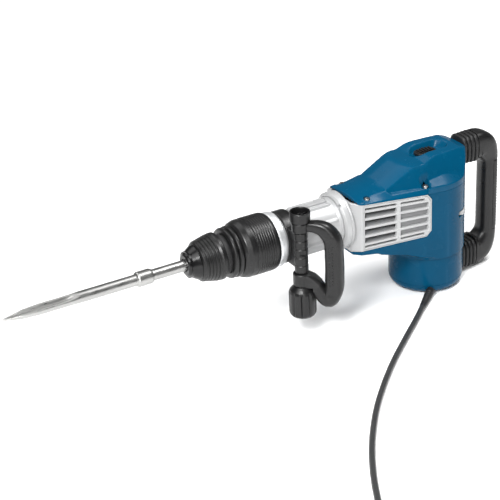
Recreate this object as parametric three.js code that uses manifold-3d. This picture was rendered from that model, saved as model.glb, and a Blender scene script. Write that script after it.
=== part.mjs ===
// Demolition hammer: an electropneumatic hammer with a vertical motor, a round tool holder
// on the horizontal tool axis, a swivelling D-shaped side handle and a sprung rear handle.
// Millimetres, +Z up. The chisel points along -X and the rear handle is at +X.
// The origin is where the motor's vertical axis meets the flat underside of its end cap.

import * as THREE from 'three';
import { mergeVertices } from 'three/addons/utils/BufferGeometryUtils.js';
import Module from 'manifold-3d';

const wasm = await Module();
wasm.setup();

// ---------------------------------------------------------------- driving dimensions

const GAP = 0.3; // clearance between neighbouring solids
const ROUND = 24; // segments round a large turned part
const SMALL_ROUND = 14; // segments round a small turned part

const AXIS_Z = 158; // height of the tool axis
const WALL = 4; // casing wall

const BUCKET_R = 62; // motor bucket, below the ledge
const BODY_R = 64; // rounded rear of the body, above the ledge
const LEDGE_Z = 66;
const SPLIT_Z = 113; // lower edge of the crankcase
const SEAM_FRONT_Z = 194.5; // the cover's lower edge falls from here at the shoulder
const SEAM_REAR_Z = 187; // to here at the motor housing
const ROOF_Z = 241; // top of the cover

const FRONT_X = -170; // front wall of the crankcase
const FRONT_HALF = 34;
const SHOULDER_X = -156;
const SHOULDER_HALF = 44.5;
const CASE_REAR_X = -31; // crankcase ends, motor housing begins
const REAR_ANGLE = THREE.MathUtils.degToRad(100); // where the side walls meet the round rear

const CHISEL_TIP_X = -747;
const CHISEL_R = 9;
const CHISEL_REAR_X = -347;
const CAP_FRONT_X = -449;
const LOCK_FRONT_X = -430;
const LOCK_REAR_X = -392;
const LOCK_TRAVEL = 9; // the locking sleeve slides back this far over the rubber band
const RINGS_FRONT_X = -381;
const SHROUD_FRONT_X = -364;
const SHROUD_REAR_X = -303;
const SILVER_REAR_X = -288;
const NECK_R = 38;
const NECK_BORE = 25.5;

const CRANK_X = -48; // crank axis, which the 8-tooth pinion on X = 0 drives
const GEAR_MODULE = 1.5;
const CRANK_TEETH = 56;
const PINION_TEETH = 8;
const CRANK_THROW = 22;
const GEAR_Z = 123; // underside of the crank gear
const GEAR_THICK = 12;
const WRIST_X = -145; // piston pin at the front dead centre

const BOLT_X = -276; // side handle bolt
const BOLT_Y = -57;
const LOOP_REACH = 50; // grip centre from the bolt
const LOOP_ANGLE = THREE.MathUtils.degToRad(-40); // direction of the grip, seen from above

const HANDLE_FRONT_X = 93; // where the rear handle's arms begin
const HANDLE_REAR_X = 142;
const ARM_UP_Z = 220;
const ARM_LOW_Z = 27;
const HANDLE_TRAVEL = 6; // play left in front of the bellows and the springs

const CORD_R = 4.75;
const COIL_CENTRE = new THREE.Vector3(-530, -640, 19.5);
const COIL_OUT_R = 72;
const COIL_IN_R = 38;
const COIL_HIGH = 38;

// ---------------------------------------------------------------- materials

function plain(color, roughness, metalness = 0) {
  return new THREE.MeshStandardMaterial({ color, roughness, metalness });
}

const BLUE = plain(0x00567f, 0.4);
const CAST = plain(0xc6c8c9, 0.5, 0.3);
const GRILLE = plain(0xd2d3d3, 0.5);
const SILVER = plain(0xb4b6b7, 0.4, 0.6);
const BLACK = plain(0x2a2b2c, 0.5);
const RUBBER = plain(0x1b1c1d, 0.75);
const STEEL = plain(0xa9abad, 0.35, 0.9);
const DARK_STEEL = plain(0x55585a, 0.45, 0.8);
const COPPER = plain(0xb46a3c, 0.4, 0.8);
const BRASS = plain(0xb99a4d, 0.4, 0.8);
const CIRCUIT = plain(0x2c5a3a, 0.6);

// ---------------------------------------------------------------- solids

// A closed geometry as a solid: shared points are merged and empty triangles left out.
function solid(geometry) {
  const bare = geometry.clone();
  bare.deleteAttribute('normal');
  bare.deleteAttribute('uv');
  const merged = mergeVertices(bare, 1e-4);
  const corners = merged.index.array;
  const kept = [];
  for (let i = 0; i < corners.length; i += 3) {
    const [a, b, c] = [corners[i], corners[i + 1], corners[i + 2]];
    if (a !== b && b !== c && c !== a) kept.push(a, b, c);
  }
  return new wasm.Manifold(new wasm.Mesh({
    numProp: 3,
    vertProperties: new Float32Array(merged.attributes.position.array),
    triVerts: new Uint32Array(kept),
  }));
}

function box(x0, x1, y0, y1, z0, z1) {
  const geometry = new THREE.BoxGeometry(x1 - x0, y1 - y0, z1 - z0);
  geometry.translate((x0 + x1) / 2, (y0 + y1) / 2, (z0 + z1) / 2);
  return solid(geometry);
}

// Turned about a line along X through (y, z): the profile lists [x, radius].
function turnX(profile, y = 0, z = AXIS_Z, segments = ROUND) {
  const points = profile.map(([x, r]) => new THREE.Vector2(r, x));
  const geometry = new THREE.LatheGeometry(points, segments);
  geometry.rotateZ(-Math.PI / 2);
  geometry.translate(0, y, z);
  return solid(geometry);
}

// Turned about a vertical line through (x, y): the profile lists [radius, z].
function turnZ(profile, x = 0, y = 0, segments = ROUND) {
  const points = profile.map(([r, z]) => new THREE.Vector2(r, z));
  const geometry = new THREE.LatheGeometry(points, segments);
  geometry.rotateX(Math.PI / 2);
  geometry.translate(x, y, 0);
  return solid(geometry);
}

function barX(r, x0, x1, y = 0, z = AXIS_Z, segments = SMALL_ROUND) {
  return turnX([[x0, 0], [x0, r], [x1, r], [x1, 0]], y, z, segments);
}

function barZ(r, z0, z1, x = 0, y = 0, segments = SMALL_ROUND) {
  return turnZ([[0, z0], [r, z0], [r, z1], [0, z1]], x, y, segments);
}

function tubeX(outer, inner, x0, x1, y = 0, z = AXIS_Z, segments = ROUND) {
  return turnX([[x0, inner], [x0, outer], [x1, outer], [x1, inner], [x0, inner]], y, z, segments);
}

function tubeZ(outer, inner, z0, z1, x = 0, y = 0, segments = SMALL_ROUND) {
  return turnZ([[inner, z0], [outer, z0], [outer, z1], [inner, z1], [inner, z0]], x, y, segments);
}

function outline(points) {
  return new THREE.Shape(points.map(([a, b]) => new THREE.Vector2(a, b)));
}

function extrude(shape, depth, curveSegments = 4) {
  return new THREE.ExtrudeGeometry(shape, { depth, bevelEnabled: false, curveSegments });
}

// A plan shape in XY raised from z0 to z1.
function raise(shape, z0, z1, curveSegments = 12) {
  const geometry = extrude(shape, z1 - z0, curveSegments);
  geometry.translate(0, 0, z0);
  return solid(geometry);
}

// A side profile in XZ carried across from y0 to y1.
function across(shape, y0, y1) {
  const geometry = extrude(shape, y1 - y0);
  geometry.rotateX(Math.PI / 2);
  geometry.translate(0, y1, 0);
  return solid(geometry);
}

// A cross-section in YZ carried along from x0 to x1.
function along(shape, x0, x1, curveSegments = 4) {
  const geometry = extrude(shape, x1 - x0, curveSegments);
  const turn = new THREE.Matrix4().makeBasis(
    new THREE.Vector3(0, 1, 0),
    new THREE.Vector3(0, 0, 1),
    new THREE.Vector3(1, 0, 0),
  );
  geometry.applyMatrix4(turn);
  geometry.translate(x0, 0, 0);
  return solid(geometry);
}

function roundedRectangle(x0, y0, x1, y1, r) {
  const shape = new THREE.Shape();
  shape.moveTo(x0 + r, y0);
  shape.absarc(x1 - r, y0 + r, r, -Math.PI / 2, 0, false);
  shape.absarc(x1 - r, y1 - r, r, 0, Math.PI / 2, false);
  shape.absarc(x0 + r, y1 - r, r, Math.PI / 2, Math.PI, false);
  shape.absarc(x0 + r, y0 + r, r, Math.PI, Math.PI * 1.5, false);
  return shape;
}

// A round bar of changing radius along a list of centres; the section keeps "side" level.
function bend(centres, radii, side, segments = 12) {
  const curve = new THREE.CatmullRomCurve3(centres, false, 'centripetal');
  const steps = (centres.length - 1) * 2;
  const points = [];
  const corners = [];
  for (let i = 0; i <= steps; i += 1) {
    const t = i / steps;
    const at = curve.getPoint(t);
    const ahead = curve.getTangent(t);
    const up = new THREE.Vector3().crossVectors(ahead, side).normalize();
    const s = t * (radii.length - 1);
    const low = Math.min(Math.floor(s), radii.length - 2);
    const radius = radii[low] + (radii[low + 1] - radii[low]) * (s - low);
    for (let j = 0; j < segments; j += 1) {
      const a = (j / segments) * Math.PI * 2;
      const p = at.clone();
      p.addScaledVector(side, Math.cos(a) * radius);
      p.addScaledVector(up, Math.sin(a) * radius);
      points.push(p.x, p.y, p.z);
    }
  }
  for (let i = 0; i < steps; i += 1) {
    for (let j = 0; j < segments; j += 1) {
      const k = (j + 1) % segments;
      const [a, b] = [i * segments + j, i * segments + k];
      const [c, d] = [a + segments, b + segments];
      corners.push(a, b, d, a, d, c);
    }
  }
  const last = steps * segments;
  for (let j = 1; j < segments - 1; j += 1) {
    corners.push(0, j + 1, j);
    corners.push(last, last + j, last + j + 1);
  }
  const geometry = new THREE.BufferGeometry();
  geometry.setAttribute('position', new THREE.Float32BufferAttribute(points, 3));
  geometry.setIndex(corners);
  return solid(geometry);
}

function join(...solids) {
  return solids.reduce((sum, next) => sum.add(next));
}

function cut(from, ...tools) {
  return tools.reduce((rest, tool) => rest.subtract(tool), from);
}

function mesh(name, shape, material) {
  const { vertProperties, triVerts } = shape.getMesh();
  const geometry = new THREE.BufferGeometry();
  geometry.setAttribute('position', new THREE.BufferAttribute(vertProperties, 3));
  geometry.setIndex(new THREE.BufferAttribute(triVerts, 1));
  geometry.computeVertexNormals();
  const made = new THREE.Mesh(geometry, material);
  made.name = name;
  return made;
}

// ---------------------------------------------------------------- casing

// The body seen from above: narrow front, slowly widening sides and a round rear.
function bodyPlan(inset, radius = BODY_R) {
  const shape = new THREE.Shape();
  shape.moveTo(FRONT_X + inset, -(FRONT_HALF - inset));
  shape.lineTo(SHOULDER_X + inset / 2, -(SHOULDER_HALF - inset));
  shape.absarc(0, 0, radius - inset, -REAR_ANGLE, REAR_ANGLE, false);
  shape.lineTo(SHOULDER_X + inset / 2, SHOULDER_HALF - inset);
  shape.lineTo(FRONT_X + inset, FRONT_HALF - inset);
  return shape;
}

// The flat sides open towards the rear by this angle.
const SIDE_SLOPE = Math.atan2(
  BODY_R * Math.sin(REAR_ANGLE) - SHOULDER_HALF,
  BODY_R * Math.cos(REAR_ANGLE) - SHOULDER_X,
);
const GRILLE_FRONT_X = -151;
const GRILLE_REAR_X = -37;
const GRILLE_LOW_Z = 117.5;
const GRILLE_HIGH_Z = 182.5;

// The seam between the cover and the casing, from the front wall to the round rear.
function seam(lift) {
  return [
    [FRONT_X - 1, SEAM_FRONT_Z + 4 + lift], [SHOULDER_X, SEAM_FRONT_Z + lift],
    [CASE_REAR_X, SEAM_REAR_Z + lift],
  ];
}

function gearHousing() {
  const side = outline([
    [FRONT_X - 1, SPLIT_Z], [CASE_REAR_X - 9, SPLIT_Z], [CASE_REAR_X, SPLIT_Z + 9], ...seam(0).reverse(),
  ]);
  const outer = across(side, -70, 70).intersect(raise(bodyPlan(0), SPLIT_Z, 210));
  const hollow = raise(bodyPlan(5), SPLIT_Z + 4, 211);
  const window = box(GRILLE_FRONT_X, GRILLE_REAR_X, -70, 70, GRILLE_LOW_Z, GRILLE_HIGH_Z);
  const neckHole = barX(31, FRONT_X - 2, FRONT_X + 8, 0, AXIS_Z, ROUND);
  return cut(outer, hollow, window, neckHole);
}

// A louvred panel that fills one side window, turned with the slope of the wall.
function grille(sideSign) {
  const length = GRILLE_REAR_X - GRILLE_FRONT_X - 2 * GAP - 2;
  const high = GRILLE_HIGH_Z - GRILLE_LOW_Z - 2 * GAP;
  const rows = 6;
  const pitch = high / rows;
  const barAt = 58;
  const barHalf = 4;
  const border = 4;
  const y = sideSign * (SHOULDER_HALF - 1.3);
  const block = (x0, x1, thick, z0, z1) => {
    const geometry = new THREE.BoxGeometry(x1 - x0, thick, z1 - z0);
    geometry.translate((x0 + x1) / 2, 0, (z0 + z1) / 2);
    geometry.rotateZ(sideSign * SIDE_SLOPE);
    geometry.translate(GRILLE_FRONT_X + GAP + 1, y, GRILLE_LOW_Z + GAP);
    return solid(geometry);
  };
  const slots = [];
  for (let row = 0; row < rows; row += 1) {
    const z0 = row * pitch + 2.4;
    const z1 = (row + 1) * pitch - 2.4;
    slots.push(block(border, barAt - barHalf, 2 * WALL, z0, z1));
    slots.push(block(barAt + barHalf, length - border, 2 * WALL, z0, z1));
  }
  return cut(block(0, length, WALL, 0, high), ...slots);
}

// Blue lower casing: the tray under the crankcase, the motor bucket and the round rear.
function motorHousing() {
  const side = outline([
    [FRONT_X - 1, SPLIT_Z - GAP], [FRONT_X + 2, 108], [-128, 103], [-68, 72], [-66, LEDGE_Z],
    [70, LEDGE_Z], [70, SEAM_REAR_Z], [CASE_REAR_X + GAP, SEAM_REAR_Z],
    [CASE_REAR_X + GAP, SPLIT_Z + 9], [CASE_REAR_X - 9 + GAP, SPLIT_Z - GAP],
  ]);
  const upper = across(side, -70, 70).intersect(raise(bodyPlan(0), LEDGE_Z, SEAM_REAR_Z));
  const bucket = barZ(BUCKET_R, 16 + GAP, LEDGE_Z + 1, 0, 0, ROUND);
  const hollow = barZ(BUCKET_R - WALL, 10, 200, 0, 0, ROUND);
  const rearRoom = raise(bodyPlan(WALL), SPLIT_Z, 200).intersect(box(-45, 70, -70, 70, SPLIT_Z, 200));
  const dialSlot = box(24, 60, -60, -32, 128, 139);
  return cut(join(upper, bucket), hollow, rearRoom, dialSlot);
}

const COVER_SLOPE = 15; // width of the sloped shoulder above the seam
const COVER_RISE = 11; // and its height
const COVER_BASE_Z = 160;
const COVER_LINE = [ // top of the cover seen from the side, front to rear
  [FRONT_X - 1, 201], [-106, 208.5], [-62, 231.5], [-30, 233], [-18, 239], [-8, ROOF_Z], [48, ROOF_Z],
  [60, 234], [BODY_R + 1, 222],
];
const COVER_ROOM_LINE = [ // and of the room inside it
  [-190, 170], [80, 170], [80, 217], [56, 230], [46, 236.5], [-8, 236.5], [-18, 234], [-30, 228],
  [-62, 226], [-106, 203.5], [-190, 196.5],
];

// The crown of the cover, narrow over the front wall and almost full at the round rear.
function crownPlan(inset) {
  const half = [[FRONT_X + inset, 22], [-106, 34], [-62, 38], [-30, 46]];
  const shape = new THREE.Shape();
  shape.moveTo(half[0][0], inset - half[0][1]);
  half.slice(1).forEach(([x, y]) => shape.lineTo(x, inset - y));
  shape.absarc(0, 0, BODY_R - 4 - inset, -REAR_ANGLE * 0.93, REAR_ANGLE * 0.93, false);
  half.reverse().forEach(([x, y]) => shape.lineTo(x, y - inset));
  return shape;
}

const SCREW_SEAT_Z = 196;

function screwPlaces() {
  return [[-140, -36], [-37, -50], [-140, 36], [-37, 50]];
}

function topCover() {
  const base = new THREE.ExtrudeGeometry(bodyPlan(0), {
    depth: 194 - COVER_BASE_Z,
    bevelEnabled: true,
    bevelThickness: COVER_RISE,
    bevelSize: COVER_SLOPE,
    bevelOffset: -COVER_SLOPE,
    bevelSegments: 1,
    curveSegments: 12,
  });
  base.translate(0, 0, COVER_BASE_Z);
  const section = outline([
    [-70, 170], [70, 170], [70, 200], [50, 220], [38, 235], [24, ROOF_Z], [-24, ROOF_Z],
    [-38, 235], [-50, 220], [-70, 200],
  ]);
  const crown = raise(crownPlan(0), 190, ROOF_Z + 1).intersect(along(section, FRONT_X - 2, 70));
  const seamLine = [...seam(GAP), [BODY_R + 2, SEAM_REAR_Z + GAP]];
  const line = outline([...seamLine, ...[...COVER_LINE].reverse()]);
  const outer = join(solid(base), crown).intersect(across(line, -70, 70));
  const roomSection = outline([
    [-55, 170], [55, 170], [55, 206], [45, 218], [33, 231], [20, 237], [-20, 237], [-33, 231],
    [-45, 218], [-55, 206],
  ]);
  const room = raise(crownPlan(WALL + 1), 180, ROOF_Z)
    .intersect(along(roomSection, FRONT_X - 5, 75))
    .intersect(across(outline(COVER_ROOM_LINE), -70, 70));
  const pocketFloor = box(-26, 30, -17, 17, 226, 239);
  const pocket = raise(roundedRectangle(-22, -13, 26, 13, 12), 229, 250);
  const heads = screwPlaces().map(([x, y]) => barZ(5, SCREW_SEAT_Z - GAP, 207, x, y, 12));
  const shanks = screwPlaces().map(([x, y]) => barZ(2.5, 170, 202, x, y, 8));
  const shell = join(cut(outer, room), pocketFloor.intersect(outer));
  return cut(shell, pocket, ...heads, ...shanks);
}

function coverScrew([x, y]) {
  const socket = barZ(2, SCREW_SEAT_Z + 2, 205, x, y, 6);
  const head = barZ(4.6, SCREW_SEAT_Z, SCREW_SEAT_Z + 4, x, y, 12);
  const shank = barZ(2.1, SCREW_SEAT_Z - 12, SCREW_SEAT_Z + 1, x, y, 8);
  return cut(join(head, shank), socket);
}

function motorEndCap() {
  return turnZ([
    [0, 0], [46, 0], [53, 2], [58.5, 6], [61.3, 11], [BUCKET_R, 16], [BUCKET_R - WALL, 16],
    [56, 12], [50, 6], [0, 4],
  ]);
}

function bearingPlate() {
  const disc = turnZ([
    [5.6, 94], [57.5, 94], [57.5, 99], [16.4, 99], [16.4, 107], [5.6, 107], [5.6, 94],
  ]);
  const vents = [];
  for (let i = 0; i < 6; i += 1) {
    const a = (i / 6) * Math.PI * 2;
    vents.push(barZ(10, 90, 103, 38 * Math.cos(a), 38 * Math.sin(a), 12));
  }
  const bearingSeat = barZ(13.3, 98, 108);
  return cut(disc, bearingSeat, ...vents);
}

// ---------------------------------------------------------------- barrel and holder

function barrelNeck() {
  const body = turnX([
    [SHROUD_FRONT_X + 2, NECK_BORE], [SHROUD_FRONT_X + 2, 33], [SHROUD_REAR_X + GAP, 33],
    [SHROUD_REAR_X + GAP, NECK_R], [-192, NECK_R], [-188, 41], [FRONT_X - GAP, 41],
    [FRONT_X - GAP, NECK_BORE], [SHROUD_FRONT_X + 2, NECK_BORE],
  ]);
  const ribs = [];
  for (let i = 0; i < 8; i += 1) {
    const rib = new THREE.BoxGeometry(64, 5, 3.4);
    rib.translate(-224, 0, NECK_R + 0.4);
    rib.rotateX((i / 8) * Math.PI * 2 + 0.3);
    rib.translate(0, 0, AXIS_Z);
    ribs.push(solid(rib));
  }
  return join(body, ...ribs);
}

function neckCollar() {
  return turnX([
    [-186, 41 + GAP], [-186, 44], [-183, 47], [-176, 48], [FRONT_X - GAP, 47.5],
    [FRONT_X - GAP, 41 + GAP], [-186, 41 + GAP],
  ]);
}

function frontShroud() {
  return turnX([
    [SHROUD_FRONT_X + GAP, 33 + GAP], [SHROUD_FRONT_X + GAP, 40], [-359, 44], [-354, 46],
    [-309, 46.5], [SHROUD_REAR_X - GAP, 44.5], [SHROUD_REAR_X - GAP, 33 + GAP],
    [SHROUD_FRONT_X + GAP, 33 + GAP],
  ]);
}

function silverRing() {
  return turnX([
    [SHROUD_REAR_X + GAP, NECK_R + GAP], [SHROUD_REAR_X + GAP, 44.5], [-291, 44],
    [SILVER_REAR_X, 42], [SILVER_REAR_X, NECK_R + GAP], [SHROUD_REAR_X + GAP, NECK_R + GAP],
  ]);
}

const SLEEVE_R = 21; // tool sleeve under the locking sleeve
const BAND_R = 32.5; // rubber band between the locking sleeve and the rings

function toolSleeve() {
  return turnX([
    [-445, 9.3], [-445, SLEEVE_R], [RINGS_FRONT_X + 2, SLEEVE_R], [RINGS_FRONT_X + 2, 24.5],
    [-302, 24.5], [-302, 14.2], [-346, 14.2], [-346, 9.3], [-445, 9.3],
  ]);
}

function gapBand() {
  return tubeX(BAND_R, SLEEVE_R + GAP, LOCK_REAR_X + 2 * GAP, RINGS_FRONT_X - GAP);
}

function lockingSleeve() {
  const profile = [[LOCK_FRONT_X, SLEEVE_R + GAP], [LOCK_FRONT_X, 28.5], [-427, 30]];
  const ridges = 5;
  const step = (LOCK_REAR_X - 2 + 427) / ridges;
  for (let i = 0; i < ridges; i += 1) {
    const x = -427 + i * step;
    const r = 30 + i * 1.35;
    profile.push([x + 1, r + 1.6], [x + step - 2.2, r + 2.1], [x + step - 1, r + 0.4]);
  }
  profile.push(
    [LOCK_REAR_X, 36.4], [LOCK_REAR_X, BAND_R + GAP], [LOCK_REAR_X - LOCK_TRAVEL - 2, BAND_R + GAP],
    [LOCK_REAR_X - LOCK_TRAVEL - 2, SLEEVE_R + GAP], [LOCK_FRONT_X, SLEEVE_R + GAP],
  );
  return turnX(profile);
}

function dustCap() {
  return turnX([
    [CAP_FRONT_X, 10.2], [CAP_FRONT_X, 16], [CAP_FRONT_X + 2, 18.5],
    [LOCK_FRONT_X - GAP, 27.5], [LOCK_FRONT_X - GAP, SLEEVE_R + GAP], [-445.5, SLEEVE_R + GAP],
    [-445.5, 10.2], [CAP_FRONT_X, 10.2],
  ]);
}

function adjustingRing(x0, x1) {
  const middle = (x0 + x1) / 2;
  return turnX([
    [x0, 25 + GAP], [x0, 38], [x0 + 1.5, 40.5], [middle, 41.5], [x1 - 1.5, 40.5], [x1, 38],
    [x1, 25 + GAP], [x0, 25 + GAP],
  ]);
}

function chisel() {
  const bar = turnX([
    [CHISEL_TIP_X, 0], [CHISEL_TIP_X, 0.8], [-744, 2], [-705, 8.6], [-660, CHISEL_R],
    [-532, CHISEL_R], [-529, 12], [-507, 12], [-503, CHISEL_R], [CHISEL_REAR_X - 2, CHISEL_R],
    [CHISEL_REAR_X, 7.5], [CHISEL_REAR_X, 0],
  ], 0, AXIS_Z, SMALL_ROUND);
  const cuts = [];
  for (let i = 0; i < 4; i += 1) {
    const flute = new THREE.CylinderGeometry(5.5, 5.5, 100, 12);
    flute.rotateZ(Math.PI / 2);
    flute.translate(-690, 0, 10.6);
    flute.rotateX((i / 4) * Math.PI * 2 + Math.PI / 4);
    flute.translate(0, 0, AXIS_Z);
    cuts.push(solid(flute));
  }
  for (const turn of [0, Math.PI]) {
    const slot = new THREE.BoxGeometry(36, 6, 6);
    slot.translate(-395, 0, 9.5);
    slot.rotateX(turn);
    slot.translate(0, 0, AXIS_Z);
    cuts.push(solid(slot));
  }
  return cut(bar, ...cuts);
}

// ---------------------------------------------------------------- hammer mechanism

function cylinderLiner() {
  return turnX([
    [-297, 8.4], [-297, 25], [-112, 25], [-112, 22], [-288, 22], [-288, 8.4], [-297, 8.4],
  ]);
}

function beatPiece() {
  return turnX([[-332, 0], [-332, 9], [-326, 13.8], [-309, 13.8], [-306, 8], [-286, 8], [-286, 0]]);
}

function ram() {
  return turnX([[-276, 0], [-276, 10], [-264, 12], [-262, 21.7], [-212, 21.7], [-212, 0]]);
}

function piston() {
  const body = turnX([
    [WRIST_X - 20, 0], [WRIST_X - 20, 21.7], [WRIST_X + 18, 21.7], [WRIST_X + 18, 17],
    [WRIST_X - 12, 17], [WRIST_X - 12, 0],
  ]);
  return cut(body, barZ(5.3, AXIS_Z - 30, AXIS_Z + 30, WRIST_X, 0));
}

function wristPin() {
  return barZ(4.9, AXIS_Z - 19, AXIS_Z + 19, WRIST_X, 0);
}

function conRod() {
  const bigX = CRANK_X - CRANK_THROW;
  const shank = box(WRIST_X, bigX, -6, 6, AXIS_Z - 4, AXIS_Z + 4);
  const small = barZ(9.5, AXIS_Z - 6, AXIS_Z + 6, WRIST_X, 0);
  const big = barZ(13, AXIS_Z - 6, AXIS_Z + 6, bigX, 0);
  const pinHole = barZ(5.1, AXIS_Z - 20, AXIS_Z + 20, WRIST_X, 0);
  const crankHole = barZ(7.2, AXIS_Z - 20, AXIS_Z + 20, bigX, 0);
  return cut(join(shank, small, big), pinHole, crankHole);
}

// Straight spur teeth as one outline: root, flank and tip points for each tooth.
function toothed(teeth, gearModule, phase) {
  const pitchR = (teeth * gearModule) / 2;
  const tip = pitchR + gearModule * 0.8;
  const root = pitchR - gearModule * 1.1;
  const points = [];
  for (let i = 0; i < teeth; i += 1) {
    const a = ((i + phase) / teeth) * Math.PI * 2;
    const w = (Math.PI * 2) / teeth;
    for (const [turn, r] of [[-0.3, root], [-0.1, tip], [0.1, tip], [0.3, root]]) {
      points.push([r * Math.cos(a + turn * w), r * Math.sin(a + turn * w)]);
    }
  }
  return outline(points);
}

function crankGear() {
  const teeth = raise(toothed(CRANK_TEETH, GEAR_MODULE, 0.5), GEAR_Z, GEAR_Z + GEAR_THICK);
  const crank = join(
    teeth,
    barZ(30, GEAR_Z + GEAR_THICK - 1, GEAR_Z + GEAR_THICK + 7, 0, 0, ROUND),
    barZ(7, GEAR_Z + GEAR_THICK + 6, AXIS_Z - 6.5, -CRANK_THROW, 0),
    barZ(9.9, SPLIT_Z + 6, GEAR_Z + 1, 0, 0),
  );
  const geometry = mesh('', crank, STEEL).geometry;
  geometry.translate(CRANK_X, 0, 0);
  return solid(geometry);
}

function armatureShaft() {
  const pinion = raise(toothed(PINION_TEETH, GEAR_MODULE, 0), GEAR_Z - 1, GEAR_Z + GEAR_THICK + 1);
  return join(barZ(5, 20, GEAR_Z, 0, 0), barZ(3.9, 5, 21, 0, 0), pinion);
}

function coolingFan() {
  const parts = [tubeZ(14, 5.05, 82, 91), tubeZ(50, 12, 82, 84, 0, 0, ROUND)];
  const blades = 9;
  for (let i = 0; i < blades; i += 1) {
    const blade = new THREE.BoxGeometry(34, 2, 8);
    blade.translate(31, 0, 87);
    blade.rotateZ((i / blades) * Math.PI * 2);
    parts.push(solid(blade));
  }
  return join(...parts);
}

function stator() {
  const body = tubeZ(54, 27.8, 34, 79, 0, 0, ROUND);
  return cut(body, box(-60, 60, 49, 60, 30, 82), box(-60, 60, -60, -49, 30, 82));
}

function brushHolder(sideSign) {
  const y0 = sideSign > 0 ? 14.6 : -44;
  const y1 = sideSign > 0 ? 44 : -14.6;
  return box(-6, 6, y0, y1, 17, 28);
}

// ---------------------------------------------------------------- side handle

function clampBand() {
  const band = tubeX(42, NECK_R + GAP, -286, -265);
  const neckRoom = barX(NECK_R + 2, -290, -260, 0, AXIS_Z, ROUND);
  const block = cut(box(-285, -267, BOLT_Y - 2, -34, 128, 188), neckRoom);
  const column = barZ(10, 120, 190, BOLT_X, BOLT_Y);
  const rings = [122, 150, 178].map((z) => barZ(11, z, z + 10, BOLT_X, BOLT_Y));
  const boltHole = barZ(5.3, 100, 210, BOLT_X, BOLT_Y);
  return cut(join(band, block, column, ...rings), boltHole);
}

function loopPoint(reach, z) {
  const x = BOLT_X + reach * Math.cos(LOOP_ANGLE);
  return new THREE.Vector3(x, BOLT_Y + reach * Math.sin(LOOP_ANGLE), z);
}

function sideLoop() {
  const path = [
    loopPoint(6, 199), loopPoint(22, 200), loopPoint(39, 192), loopPoint(LOOP_REACH - 1, 174),
    loopPoint(LOOP_REACH, 148), loopPoint(LOOP_REACH, 116), loopPoint(LOOP_REACH - 2, 90),
    loopPoint(41, 74), loopPoint(33, 82), loopPoint(24, 98), loopPoint(6, 108),
  ];
  const radii = [8, 9, 12, 14.5, 15, 15, 15, 14, 12, 11, 9];
  const side = new THREE.Vector3(-Math.sin(LOOP_ANGLE), Math.cos(LOOP_ANGLE), 0);
  const bosses = join(
    barZ(14, 191, 206, BOLT_X, BOLT_Y),
    barZ(14, 98, 119, BOLT_X, BOLT_Y),
  );
  const boltHole = barZ(5.4, 60, 230, BOLT_X, BOLT_Y);
  const room = join(barZ(15, 119, 190.7, BOLT_X, BOLT_Y), barZ(22.6, 60, 97.5, BOLT_X, BOLT_Y));
  const above = barZ(20, 206, 230, BOLT_X, BOLT_Y);
  return cut(join(bend(path, radii, side), bosses), boltHole, room, above);
}

function boltCap() {
  const cup = turnZ([
    [0, 206 + GAP], [14, 206 + GAP], [16, 208], [16.3, 223], [15.5, 224], [13.4, 224],
    [13, 213], [0, 213],
  ], BOLT_X, BOLT_Y);
  return join(cup, barZ(4, 212, 217, BOLT_X, BOLT_Y, 6));
}

function handleBolt() {
  return barZ(5, 70, 206, BOLT_X, BOLT_Y);
}

function clampKnob() {
  const lobes = 14;
  const points = [];
  for (let i = 0; i < lobes * 4; i += 1) {
    const a = (i / (lobes * 4)) * Math.PI * 2;
    const r = 20.5 + 1.4 * Math.cos(a * lobes);
    points.push([BOLT_X + r * Math.cos(a), BOLT_Y + r * Math.sin(a)]);
  }
  const grip = raise(outline(points), 47, 90);
  const limits = turnZ([
    [0, 44], [17, 44], [20, 46], [22, 50], [22, 86], [18, 93], [14, 97], [0, 97],
  ], BOLT_X, BOLT_Y);
  const top = turnZ([[0, 85], [18, 90], [14, 97], [0, 97]], BOLT_X, BOLT_Y);
  const base = turnZ([[0, 44], [17, 44], [19, 47.5], [0, 47.5]], BOLT_X, BOLT_Y);
  return cut(join(grip.intersect(limits), top, base), barZ(5.3, 69, 100, BOLT_X, BOLT_Y));
}

// ---------------------------------------------------------------- rear handle

function rearHandle() {
  const shape = new THREE.Shape();
  shape.moveTo(HANDLE_FRONT_X, 245);
  shape.lineTo(112, 245);
  shape.quadraticCurveTo(134, 241, 140, 203);
  shape.lineTo(140, 40);
  shape.quadraticCurveTo(139, 6, 110, 1.5);
  shape.lineTo(HANDLE_FRONT_X, 1.5);
  shape.lineTo(HANDLE_FRONT_X, 52.5);
  shape.quadraticCurveTo(110, 53, 110, 66);
  shape.lineTo(110, 182);
  shape.quadraticCurveTo(110, 197, HANDLE_FRONT_X, 198);
  const section = join(
    along(roundedRectangle(-17, -5, 17, 260, 12), 80, 160),
    along(roundedRectangle(-21, 196, 21, 245, 14), 80, 126),
    along(roundedRectangle(-21, 1.5, 21, 56, 14), 80, 126),
  );
  const bores = [ARM_UP_Z, ARM_LOW_Z].map((z) => barX(8, 90, 114, 0, z));
  const padRoom = box(127, 160, -30, 30, 62, 190);
  return cut(across(shape, -30, 30).intersect(section), ...bores, padRoom);
}

function rearGrip() {
  const pad = roundedRectangle(-17, 62 + GAP, 17, 190 - GAP, 6);
  const side = roundedRectangle(127 + GAP, 62, HANDLE_REAR_X, 190, 7);
  return along(pad, 127 + GAP, HANDLE_REAR_X).intersect(across(side, -20, 20));
}

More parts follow.
